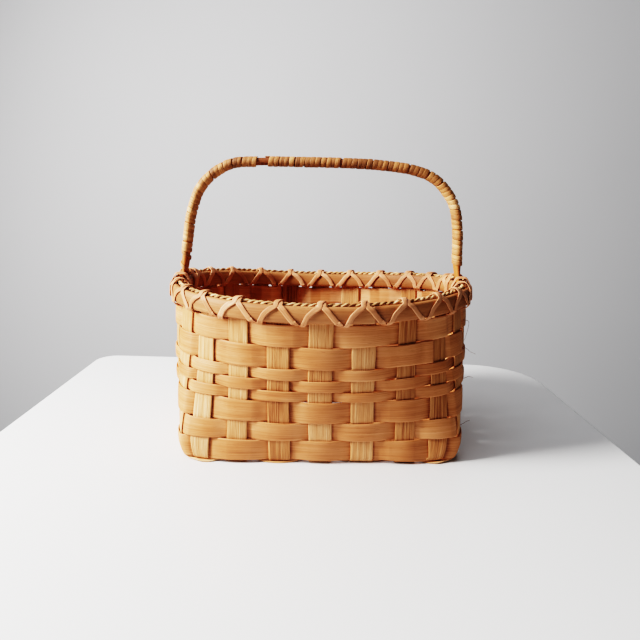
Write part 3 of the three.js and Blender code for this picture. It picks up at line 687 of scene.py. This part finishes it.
def weave_out(number, place, top):
    """How far out the middle of a row lies as it passes from one side of the uprights to the other"""
    nearest = 2 * np.round(place / 2)
    away = np.abs(place - nearest)
    even = np.interp(away, [0, 0.5, 1], [0, FLAT_PER_UNIT / STAKE_PITCH, 1])
    wave = -((-1) ** number) * np.cos(math.pi * nearest / 2) * np.cos(math.pi * even / 2)
    snap = np.tanh(WEAVER_SNAP * wave) / math.tanh(WEAVER_SNAP)
    out = WEAVER_SWING * (SNAP_SHARE * snap + (1 - SNAP_SHARE) * wave)
    if top > HOOP_TOP - TAIL_LENGTH:
        deep = tail_share(place) * (wave < 0)
        out = out * (1 - deep) - TAIL_PASS * deep
    return out


def row_edge(line, place):
    """Small rise and fall of the line between two rows, shared by both"""
    return ROW_WAVE * wander(place, UNITS, 900 + line, waves=18, roughness=0.3)


# Loose fibres that stand off the right end and the front, by the row they split from: their x, y and z
FIBRES = {
    8: ((156.0, 162.0, 163.2, 161.5, 159.4), -45, (143.8, 142.3, 138.5, 127.5, 120.0)),
    7: ((154.0, 158.0, 163.2, 167.9, 173.1), -45, (115.0, 113.6, 110.1, 106.7, 104.5)),
    5: ((-23.0, -20.5, -18.0, -19.5, -21.5), (-110.5, -112, -112, -112, -112), (93.2, 94.8, 96.4, 98.0, 97.4)),
    4: ((160.0, 166.9, 170.9, 174.3, 176.7), -30, (70.0, 71.3, 73.2, 72.8, 72.0)),
    2: ((152.0, 157.3, 161.1, 164.8, 168.1), -60, (24.0, 25.9, 28.1, 30.7, 32.0)),
}
FIBRE_RADIUS = 0.3


def fibre(number):
    """A thin fibre that has split off a row"""
    centre = catmull_rom(np.stack(np.broadcast_arrays(*FIBRES[number]), axis=-1), 6)
    points, angles = tube_points(centre, np.linspace(FIBRE_RADIUS, 0.5 * FIBRE_RADIUS, len(centre)), 6)
    return strip(points, angles * FIBRE_RADIUS, np.zeros(len(angles)), -12.0, 500 + number)


def weaver_row(number, material):
    """One row woven round the wall, with lapped ends; one row's blunt end shows at the front"""
    bottom, top = ROWS[number - 1]
    shift = 2 * ((number % CROSS_PAIRS) - 1)
    start, outer_end = 2 * (BACK + shift + (number + BACK) % 2) - ROW_LAP / 2, 1
    if number == FRONT_LAP_ROW:
        start, outer_end = FRONT_LAP_END - ROW_LAP, -1
    place = np.linspace(start, start + UNITS + ROW_LAP, 1100)
    section = (WEAVER_THICKNESS, WEAVER_CROWN) if number <= len(ROW_WIDTHS) else RIM_ROW_SECTION
    shares, offsets, edges = strip_section(*section)
    lapped = place - start
    lap = ease((2.2 - lapped) / 1.0) - ease((lapped - UNITS + 1.0) / 1.0)
    path = weave_out(number, place - front_lean(place, (bottom + top) / 2) / FLAT_PER_UNIT, top)
    loose_end = ease((lapped - UNITS - 0.4) / 0.7) if number == FRONT_LAP_ROW else np.zeros(len(place))
    out = path + LAP_STEP * lap * outer_end
    out = out + (LOOSE_END_OUT - out) * loose_end
    low = bottom + row_edge(number - 1, place) + ROW_RAGGEDNESS * wander(place, UNITS, 40 + number, 60, 0.0)
    if number == 1:
        low = low - FOOT_DROP * ease(1.7 + 1.2 * path / WEAVER_SWING)
    high = top + row_edge(number, place) + ROW_RAGGEDNESS * wander(place, UNITS, 60 + number, 60, 0.0)
    middle, half = (low + high) / 2, (high - low) / 2
    height = middle[:, None] + half[:, None] * shares[None, :]
    points = wall(place[:, None], height, out[:, None] + offsets[None, :])
    tone = 0.6 * wander(place, UNITS, 300 + number, waves=40, roughness=0.3) + ROW_TONES[number - 1]
    # Painted shadow: each row is darkened where it passes behind an upright, more where it comes out again on
    # the side away from the light, standing in for the shadow the upright casts
    shadow_side = ease(0.5 + 40 * np.gradient(path))
    tone = tone - (2.0 + 3.0 * shadow_side) * ease((-path / WEAVER_SWING - 0.5) / 0.22) * (1 - loose_end)
    # Painted light: paler round the back of the basket, where light falls on the inside of the back wall
    tone = tone + BACK_PAINTED_LIGHT * ease((9 - np.abs(np.mod(place, UNITS) - 2 * BACK)) / 3)
    across = shares[None, :] * half[:, None]
    strips = [strip(points, across, edges, tone, 11 * number)]
    if number in FIBRES:
        strips.append(fibre(number))
    make_piece(f"woven_row_{number}", strips, material, [f"weaver_row_{number}"])


# Rim hoops

def bulge_at(place):
    """How far the inner hoop stands in to clear the handle tails"""
    return np.interp(from_handle(place), [0.5, 1.5, 2.5], [HOOP_BULGE, 0.74 * HOOP_BULGE, 0.0])


def filler_rise(place):
    """How far the filler climbs onto the hoops where it passes the handle"""
    return np.interp(from_handle(place), [0.6, 2.6], [FILLER_RISE, 0.0])


def hoop_section():
    """Round a half-round hoop: share of its depth off its flat face and share of its half height"""
    angles = np.radians(np.linspace(-86, 86, 15))
    outs = np.concatenate([np.cos(angles) ** 0.45, [0.0, 0.0, 0.0]])
    shares = np.concatenate([np.sin(angles), [0.96, 0.0, -0.96]])
    return outs, shares


def hoop(name, looks, side, first, seed, material):
    """A half-round hoop with a scarfed lap; the outer one's blunt end looks to the right"""
    lapped = np.linspace(0, UNITS + HOOP_LAP, 1000)
    place = first - side * lapped
    outs, shares = hoop_section()
    start_thin = 1 - ease(lapped / 1.4)
    end_thin = ease((lapped - UNITS + 0.6) / 0.9)
    near = (HOOP_DEPTH - 1.4) * start_thin
    far = HOOP_DEPTH + 0.4 * start_thin - (1.7 + 0.6 * (lapped > UNITS)) * end_thin
    near = np.minimum(near, far - 1.0)
    swell = 0.12 * wander(place, UNITS, seed, waves=30)
    half = (HOOP_TOP - HOOP_BOTTOM) / 2 * (1 - 0.04 * start_thin - 0.06 * end_thin)
    height = HOOP_MIDDLE + half[:, None] * shares[None, :] + 0.25 * wander(place, UNITS, seed + 1, 8)[:, None]
    reach = HOOP_FACE + near[:, None] + (far + swell - near)[:, None] * outs[None, :]
    if side < 0:
        reach = reach + bulge_at(place)[:, None]
    points = wall(place[:, None], height, side * reach)
    edges = ease((np.abs(shares) - 0.8) / 0.2)
    # Painted light and shadow at the lap: the tongue at its start is made paler, and the hoop just beside the
    # blunt end darker, as if the end cast a shadow there
    beside = ease(1 - np.abs(lapped - UNITS) / 0.7) * (lapped < UNITS)
    tone = wander(place, UNITS, seed + 2, waves=10) + 3.0 * start_thin ** 2 - 3.5 * beside
    piece = strip(points, shares * 9.2 + outs * 3, edges * 0.5, tone, seed)
    make_piece(looks, [piece], material, [name])


def make_hoops(material):
    hoop("outer_rim_hoop", "outer_hoop", 1, 2.35, 401, material)
    hoop("inner_rim_hoop", "inner_hoop", -1, 28.5, 431, material)


# Rim filler

def tube_points(centre, radius, sides):
    """Rings round a path, and the angles of their points"""
    travel = unit(np.gradient(centre, axis=0))
    side = unit(np.cross(travel, (0.0, 0.0, 1.0)))
    above = np.cross(side, travel)
    angles = np.arange(sides) * 2 * math.pi / sides
    radius = np.broadcast_to(radius, len(centre))[:, None, None]
    return (centre[:, None, :] + radius * (np.cos(angles)[None, :, None] * side[:, None, :]
            + np.sin(angles)[None, :, None] * above[:, None, :])), angles


def filler_ply(phase, seed):
    place = np.linspace(25.0, 25.0 + UNITS - 0.05, 2600)
    nearest = from_handle(place)
    outward = np.interp(nearest, [0.55, 1.5], [2.65, 0.0])
    level = FILLER_HEIGHT + filler_rise(place)
    rough = wall(place, level, outward)
    turns = walked_length(rough) / FILLER_LAY * 2 * math.pi + phase
    turns = turns + 0.35 * wander(place, UNITS, 77, waves=30)
    radius = FILLER_STRAND / 2 * (1 + 0.09 * wander(place, UNITS, seed, waves=160, roughness=0.1))
    swing = FILLER_STRAND / 2 * 0.8
    centre = wall(place, level + swing * np.sin(turns), outward + swing * np.cos(turns))
    points, angles = tube_points(centre, radius, 9)
    tone = wander(place, UNITS, seed + 1, waves=60, roughness=0.2)
    across = np.abs(np.mod(angles / math.pi, 2) - 1) * FILLER_STRAND
    return strip(points, across, np.zeros(len(angles)), tone, seed)


def make_filler(material):
    plies = [filler_ply(0.0, 3), filler_ply(math.pi, 4)]
    make_piece("seagrass_filler", plies, material, ["rim_filler"])


# Rim lacing

def carried_on(controls):
    """Rows of controls with one more at each end, in line with the last two"""
    return np.concatenate([[2 * controls[0] - controls[1]], controls, [2 * controls[-1] - controls[-2]]])


def catmull_rom(controls, steps):
    """Smooth closed-form path through rows of controls, open at both ends"""
    padded = carried_on(controls)
    share = np.linspace(0, 1, steps, endpoint=False)[None, :, None]
    before, start, end, after = (padded[k:len(padded) - 3 + k, None, :] for k in range(4))
    path = 0.5 * (2 * start + (end - before) * share + (2 * before - 5 * start + 4 * end - after) * share ** 2
                  + (3 * start - before - 3 * end + after) * share ** 3)
    return np.concatenate([path.reshape(-1, controls.shape[1]), controls[-1:]])


# Share of the way from the apex to the gap at each height down the rim, for a strand as it falls and climbs
LACING_FALL = np.array([0.09, 0.27, 0.49, 0.70, 0.94])
LACING_CLIMB = np.array([0.12, 0.38, 0.67, 0.87, 0.97])
LACING_LEAN = 0.07


def lacing_outline(lift):
    """Round the rim's section from the outside bottom up over the crown to the inside bottom"""
    reach = HOOP_FACE + HOOP_DEPTH + LACING_CLEARANCE + lift
    crown = FILLER_HEIGHT + 2.4 + lift
    return {
        "outer": [(reach - 0.5, HOOP_BOTTOM + 0.9), (reach, HOOP_BOTTOM + 3.2), (reach, HOOP_MIDDLE - 0.6),
                  (reach - 0.3, HOOP_TOP - 3.4), (reach - 2.2, HOOP_TOP - 0.1)],
        "crown": [(4.4, crown - 0.9), (0.0, crown + 0.1), (-4.4, crown - 0.9)],
        "inner": [(2.2 - reach, HOOP_TOP - 0.1), (0.3 - reach, HOOP_TOP - 3.4), (-reach, HOOP_MIDDLE - 0.6),
                  (-reach, HOOP_BOTTOM + 3.4), (0.6 - reach, HOOP_BOTTOM + 1.3)],
        "slot": [(-3.2, HOOP_BOTTOM - 0.9 - lift), (4.6, HOOP_BOTTOM - 1.2 - lift)],
    }


def lacing_turn(index, down_outside, lifts, apex):
    """Controls of one turn: over the crown at an upright, down one side, under the rim in the gap and up"""
    face, cross = (lacing_outline(lift) for lift in lifts)
    here, gap = 2 * index + apex, 2 * index + 1
    down, up = (face["outer"], face["inner"][::-1]) if down_outside else (face["inner"][::-1], face["outer"])
    crown, slot = cross["crown"], cross["slot"]
    if down_outside:
        crown, slot = crown[::-1], slot[::-1]
    lean = np.linspace(-LACING_LEAN, LACING_LEAN, 3)
    rise = filler_rise(here)
    controls = [(here + shift, out, height + rise) for shift, (out, height) in zip(lean, crown)]
    controls += [(here + (1 - LACING_FOOT - apex) * share, out, height)
                 for share, (out, height) in zip(LACING_FALL, down[::-1])]
    controls += [(gap + LACING_FOOT * shift, out, height) for shift, (out, height) in zip((-0.5, 0.5), slot)]
    return controls, up, gap


def lacing_path(down_outside, lifts):
    """Controls of a pass round the rim from the left end; each pass goes by the handle on its own side"""
    aside = -LACING_ASIDE if down_outside else LACING_ASIDE
    apexes = [aside if index % UPRIGHTS in (RIGHT_END, LEFT_END) else 0.0
              for index in range(LEFT_END, LEFT_END + UPRIGHTS + 1)]
    controls = []
    rise = 1 - LACING_CLIMB[::-1]
    for turn in range(UPRIGHTS):
        index = LEFT_END + turn
        points, up, gap = lacing_turn(index, down_outside, lifts, apexes[turn])
        start, end = gap + LACING_FOOT, 2 * (index + 1) + apexes[turn + 1]
        controls += points + [(start + (end - start) * share, out, height)
                              for share, (out, height) in zip(rise, up)]
    return np.array(controls)


def lacing_points(path, seed):
    """Section points of a flat cane strand that hugs the rim along a path of place, out and height"""
    place, out, height = path.T
    bulge = np.where(out < 0, bulge_at(place), 0.0) * ease(-out / 5)
    centre = wall(place, height, out - bulge)
    travel = unit(np.gradient(centre, axis=0))
    run = np.pad(wall_frame(place, height)[1], ((0, 0), (0, 1)))
    inward = centre - wall(place, HOOP_MIDDLE, 0.0)
    around = np.cross(travel, run)
    sign = np.sign(np.sum(around * inward, axis=1, keepdims=True))
    steep = np.linalg.norm(around, axis=1, keepdims=True)
    face = around * sign / np.maximum(steep, 1e-6)
    kernel = np.ones(5) / 5
    face = np.stack([np.convolve(np.pad(face[:, a], 2, mode="edge"), kernel, "valid") for a in range(3)], -1)
    face = unit(face - travel * np.sum(face * travel, axis=1, keepdims=True))
    shares = np.array([-0.96, -0.6, -0.25, 0.0, 0.25, 0.6, 0.96, 1.0, 0.9, 0.0, -0.9, -1.0])
    ridge = LACING_RIDGE * (1 - np.abs(shares[:7])) ** 0.7
    offsets = np.concatenate([LACING_THICKNESS / 2 + ridge, [0.0], np.full(3, -LACING_THICKNESS / 2), [0.0]])
    half = LACING_WIDTH / 2 * (1 + 0.05 * wander(walked_length(centre), 3000, seed, waves=60, roughness=0.0))
    return ribbon(centre, np.cross(face, travel), face, half, shares, offsets), shares


def lacing_strip(controls, seed):
    path = catmull_rom(controls, 7)
    points, shares = lacing_points(path, seed)
    tone = wander(path[:, 0], UNITS, seed + 1, waves=40, roughness=0.2)
    return strip(points, shares * LACING_WIDTH / 2, ease((np.abs(shares) - 0.7) / 0.3), tone, seed)


def lashing(place, lean, lift, seed):
    """One more turn of the cane round the rim beside a handle leg"""
    outline = lacing_outline(lift)
    ring = outline["outer"] + outline["crown"] + outline["inner"] + outline["slot"] + outline["outer"][:1]
    leans = [-1.0, -0.9, -0.75, -0.6, -0.5, -0.3, 0.0, 0.3, 0.5, 0.6, 0.75, 0.9, 1.0, 0.5, -0.5, -1.0]
    controls = []
    for share, (out, height) in zip(leans, ring):
        at = place + lean * share
        rise = 1.5 * filler_rise(at) if abs(share) < 0.4 else 0.0
        controls.append((at, out, height + rise))
    return lacing_strip(np.array(controls), seed)


def make_lashings(lift, seed):
    """Turns that bind the rim close to both handle legs"""
    strips = []
    for end in (2 * RIGHT_END, 2 * LEFT_END):
        for number, shift in enumerate((-1.08, -0.8, -0.56, 0.56, 0.8, 1.08)):
            lean = 0.16 if number % 2 else 0.05
            strips.append(lashing(end + shift, lean, lift + 0.3 * (number % 2), seed + end + number))
    return strips


def make_lacing(material):
    first = lacing_path(True, (0.4, 0.4))
    make_piece("lacing_first_pass", [lacing_strip(first, 51)], material, ["rim_lacing_first_pass"])
    back = lacing_path(False, (0.6, 1.4))
    make_piece("lacing_return_pass", [lacing_strip(back, 61), *make_lashings(0.9, 70)], material,
               ["rim_lacing_return_pass"])


# Handle

def centripetal(controls, count):
    """Centripetal Catmull-Rom curve through the controls, as many evenly spaced points"""
    padded = carried_on(controls)
    gaps = np.linalg.norm(np.diff(padded, axis=0), axis=1) ** 0.5
    samples = []
    for index in range(len(controls) - 1):
        p0, p1, p2, p3 = padded[index:index + 4]
        d0, d1, d2 = gaps[index:index + 3]
        t1 = ((p1 - p0) / d0 - (p2 - p0) / (d0 + d1) + (p2 - p1) / d1) * d1
        t2 = ((p2 - p1) / d1 - (p3 - p1) / (d1 + d2) + (p3 - p2) / d2) * d1
        share = np.linspace(0, 1, 60, endpoint=False)[:, None]
        samples.append(p1 + t1 * share + (3 * (p2 - p1) - 2 * t1 - t2) * share ** 2
                       + (2 * (p1 - p2) + t1 + t2) * share ** 3)
    dense = np.concatenate([*samples, controls[-1:]])
    walked = walked_length(dense)
    return rows_at(np.linspace(0, walked[-1], count), walked, dense)


def handle_line():
    """Centre points of the handle with the way out of the arch and the half sizes of its section"""
    rim_top = HOOP_TOP * (1 + END_LIFT / HOOP_TOP)
    tail = HOOP_TOP - TAIL_LENGTH * (1 - np.arange(4) / 3)
    left = wall(2.0 * LEFT_END, tail, -TAIL_OFFSET)
    right = wall(2.0 * RIGHT_END, tail, -TAIL_OFFSET)[::-1]
    arch = [(x * HANDLE_SPREAD, 0.0, rim_top + up * HANDLE_RISE) for x, up in HANDLE_OUTLINE]
    points = centripetal(np.concatenate([left, arch, right]), 900)
    travel = unit(np.gradient(points, axis=0))
    outward = unit(np.stack([-travel[:, 2], np.zeros(len(travel)), travel[:, 0]], axis=-1))
    grown = ease((points[:, 2] - rim_top) / SHOULDER_RISE)
    half_thick, half_wide = ((tail_size + (size - tail_size) * grown) / 2
                             for tail_size, size in zip(TAIL_SIZE, HANDLE_SIZE))
    return points, travel, outward, half_thick, half_wide, rim_top


POINTS, TRAVEL, OUTWARD, HALF_THICK, HALF_WIDE, RIM_TOP = handle_line()
HANDLE_LENGTHS = walked_length(POINTS)


def along_handle(table, length):
    if table.ndim == 1:
        return np.interp(length, HANDLE_LENGTHS, table)
    return rows_at(length, HANDLE_LENGTHS, table)


def oval_offset(length, angle, margin):
    """Offset from the handle's centre line at an angle round its oval section"""
    def rounded(value):
        return np.sign(value) * np.abs(value) ** HANDLE_ROUNDING
    away = rounded(np.cos(angle)) * (along_handle(HALF_THICK, length) + margin)
    across = rounded(np.sin(angle)) * (along_handle(HALF_WIDE, length) + margin)
    outward = along_handle(OUTWARD, length)
    return outward * away[..., None] + np.array([0.0, 1.0, 0.0]) * across[..., None]


def handle_core(material):
    lengths = np.linspace(0, HANDLE_LENGTHS[-1], 420)
    angles = np.arange(28) * 2 * math.pi / 28
    wobble = 0.12 * wander(lengths, 700, 70, waves=30)
    lengths_round, wobble_round = (np.repeat(values, len(angles)) for values in (lengths, wobble))
    offset = oval_offset(lengths_round, np.tile(angles, len(lengths)), wobble_round)
    points = along_handle(POINTS, lengths)[:, None, :] + offset.reshape(len(lengths), len(angles), 3)
    across = np.abs(np.mod(angles / math.pi, 2) - 1) * 20
    tone = wander(lengths, 700, 71, waves=12) - 6.0 * darker_top_at(along_handle(POINTS, lengths))
    piece = strip(points, across, np.zeros(len(angles)), tone, 7)
    make_piece("bent_handle", [piece], material, ["handle"])


def darker_top_at(points):
    """One over the upper part of the handle, where it is made darker"""
    return ease((points[:, 2] - RIM_TOP - DARKENING_RISE) / 30)


def wrap_strip(start, end, turns, seed, width_share=0.97):
    """A flat strip wound round the handle, with a slightly uneven pitch"""
    angle = np.linspace(0, 2 * math.pi * turns, turns * 22)
    turn = angle / (2 * math.pi)

    def uneven(size, order, period=turns):
        return size * wander(turn, period, seed + order, waves=turns, roughness=0.0)

    pitch = (end - start) / turns
    fade = ease(turn / 2) * ease((turns - turn) / 2)
    length = start + pitch * turn + uneven(0.09 * pitch, 0, turns * 1.3) * fade
    margin = 0.8 + uneven(0.09, 1)
    before, offset, after = (oval_offset(length, angle + step, margin) for step in (-0.12, 0.0, 0.12))
    centre = along_handle(POINTS, length) + offset
    travel = unit(along_handle(TRAVEL, length))
    face = unit(np.cross(after - before, travel))
    face *= np.sign(np.sum(face * offset, axis=1, keepdims=True))
    shares, offsets, edges = strip_section(0.8, 0.3)
    half = pitch * width_share / 2 * (1 + uneven(0.04, 2))
    points = ribbon(centre, travel, face, half, shares, offsets)
    tone = uneven(1.2, 3) - TOP_DARKENING * darker_top_at(centre)
    return strip(points, shares * 2.5, edges, tone, seed)


def wrap_spans():
    lefts = (POINTS[:, 0] < WRAP_GAP[0]) & (POINTS[:, 2] > RIM_TOP + BARE_LEFT_LEG)
    rights = (POINTS[:, 0] > WRAP_GAP[1]) & (POINTS[:, 2] > RIM_TOP + BARE_RIGHT_LEG)
    return [(HANDLE_LENGTHS[part][0], HANDLE_LENGTHS[part][-1]) for part in (lefts, rights)]


def make_wraps(material):
    left, right = wrap_spans()
    leg = (POINTS[:, 0] < 0) & (POINTS[:, 2] > RIM_TOP + 2)
    tail = wrap_strip(HANDLE_LENGTHS[leg][0], left[0] + 2, LEG_TURNS, 86, 0.27)
    make_piece("handle_winding_left", [wrap_strip(*left, WRAP_TURNS_LEFT, 81), tail], material,
               ["handle_wrap_left"])
    make_piece("handle_winding_right", [wrap_strip(*right, WRAP_TURNS_RIGHT, 91)], material,
               ["handle_wrap_right"])


# Surroundings

TABLE_LEFT = -382.0
TABLE_RIGHT = 345.0
TABLE_BACK_LEFT = 306.0
TABLE_BACK_RIGHT = 268.0
TABLE_FRONT = -1200.0
TABLE_EDGE = 16.0


def rounded_outline(corners, radii):
    """Plan outline with rounded corners"""
    outline = []
    for index, (corner, radius) in enumerate(zip(corners, radii)):
        start, end = (corner + unit(corners[beside % len(corners)] - corner) * radius
                      for beside in (index - 1, index + 1))
        handles = start + (corner - start) * 0.55, end + (corner - end) * 0.55
        outline += [bezier(start, *handles, end, share) for share in np.linspace(0, 1, 10)]
    return np.array(outline)


def make_table():
    corners = np.array([(TABLE_LEFT + 8, TABLE_FRONT), (TABLE_RIGHT + 8, TABLE_FRONT),
                        (TABLE_RIGHT, TABLE_BACK_RIGHT), (TABLE_LEFT, TABLE_BACK_LEFT)])
    outline = rounded_outline(corners, [60, 60, 90, 32])
    centre = outline.mean(axis=0)
    rings = []
    for angle in np.radians([0, 22, 45, 67, 90]):
        inset = TABLE_EDGE * (1 - math.sin(angle))
        scale = 1 - inset / np.linalg.norm(outline - centre, axis=1, keepdims=True)
        ring = centre + (outline - centre) * scale
        drop = -TABLE_EDGE * (1 - math.cos(angle))
        rings.append(np.concatenate([ring, np.full((len(ring), 1), drop)], axis=1))
    rings.append(rings[-1] - np.array([0, 0, 14.0]))
    quads, caps = strip_faces(len(rings), len(outline), 0)
    faces = [caps[0][::-1], *np.roll(quads[:, ::-1], 1, axis=1).tolist(), caps[1][::-1]]
    mesh = bpy.data.meshes.new("table")
    mesh.from_pydata((np.concatenate(rings) * METRES).tolist(), [], faces)
    for polygon in mesh.polygons[1:-1]:
        polygon.use_smooth = True
    mesh.materials.append(plain_material("white_table", srgb(225, 225, 225), 0.3))
    table = add_object("table", mesh)


def make_backdrop():
    mesh = bpy.data.meshes.new("backdrop")
    mesh.from_pydata([(-5, 1.5, -3), (5, 1.5, -3), (5, 1.5, 4), (-5, 1.5, 4)], [], [(0, 1, 2, 3)])
    mesh.materials.append(plain_material("grey_wall", srgb(222, 222, 224), 0.9))
    backdrop = add_object("backdrop", mesh)


LIT_POINT = Vector((0.0, 0.0, 0.09))


def area_light(name, azimuth, elevation, distance, size, power, colour):
    """A soft light; azimuth counts from the front towards the left, and lengths are in metres"""
    lamp = bpy.data.lights.new(name, "AREA")
    lamp.shape = "RECTANGLE"
    lamp.size, lamp.size_y = size
    lamp.energy = power
    lamp.color = colour
    angle, rise = math.radians(azimuth), math.radians(elevation)
    direction = Vector((-math.sin(angle) * math.cos(rise), -math.cos(angle) * math.cos(rise), math.sin(rise)))
    light = add_object(name, lamp)
    light.location = LIT_POINT + direction * distance
    light.rotation_euler = direction.to_track_quat("Z", "Y").to_euler()


def make_lights():
    area_light("window", 75, 29, 1.5, (0.3, 0.9), 97.0, (1.0, 0.985, 0.965))
    area_light("skylight", 80, 72, 1.7, (1.4, 1.4), 17.0, (0.97, 0.98, 1.0))
    world = bpy.data.worlds.new("surround")
    world.use_nodes = True
    background = world.node_tree.nodes["Background"]
    background.inputs["Color"].default_value = (0.93, 0.96, 1.0, 1.0)
    background.inputs["Strength"].default_value = 0.1
    bpy.context.scene.world = world


# Camera, fitted to the photograph's rim, stakes, base and handle

FOCAL_PIXELS = 560.0
CAMERA_PLACE = (-5.34, -647.7, 274.2)
CAMERA_PITCH = 0.2169
CAMERA_YAW = 0.0068
CAMERA_ROLL = 0.0128
SENSOR_WIDTH = 36.0
PHOTO_WIDTH = 640.0


def make_camera():
    forward = Vector((math.sin(CAMERA_YAW) * math.cos(CAMERA_PITCH),
                      math.cos(CAMERA_YAW) * math.cos(CAMERA_PITCH), -math.sin(CAMERA_PITCH)))
    level = Vector((math.cos(CAMERA_YAW), -math.sin(CAMERA_YAW), 0.0))
    upright = level.cross(forward)
    right = level * math.cos(CAMERA_ROLL) + upright * math.sin(CAMERA_ROLL)
    up = upright * math.cos(CAMERA_ROLL) - level * math.sin(CAMERA_ROLL)
    data = bpy.data.cameras.new("camera")
    data.sensor_width = SENSOR_WIDTH
    data.lens = FOCAL_PIXELS * SENSOR_WIDTH / PHOTO_WIDTH
    camera = add_object("camera", data)
    turn = Matrix((right, up, -forward)).transposed()
    camera.matrix_world = Matrix.Translation(Vector(CAMERA_PLACE) * METRES) @ turn.to_4x4()
    bpy.context.scene.camera = camera


def make_basket():
    make_stakes(splint_material("stake_splint"))
    weaver = splint_material("weaver_splint")
    for number in range(1, len(ROWS) + 1):
        weaver_row(number, weaver)
    make_hoops(splint_material("hoop_wood"))
    make_filler(cord_material())
    make_lacing(splint_material("cane_lacing"))
    handle_core(splint_material("handle_wood"))
    make_wraps(splint_material("wrap_splint"))


make_camera()
make_basket()
make_table()
make_backdrop()
make_lights()
bpy.context.scene.view_settings.view_transform = "Filmic"
bpy.context.scene.view_settings.look = "Very High Contrast"
bpy.context.scene.view_settings.exposure = -0.6
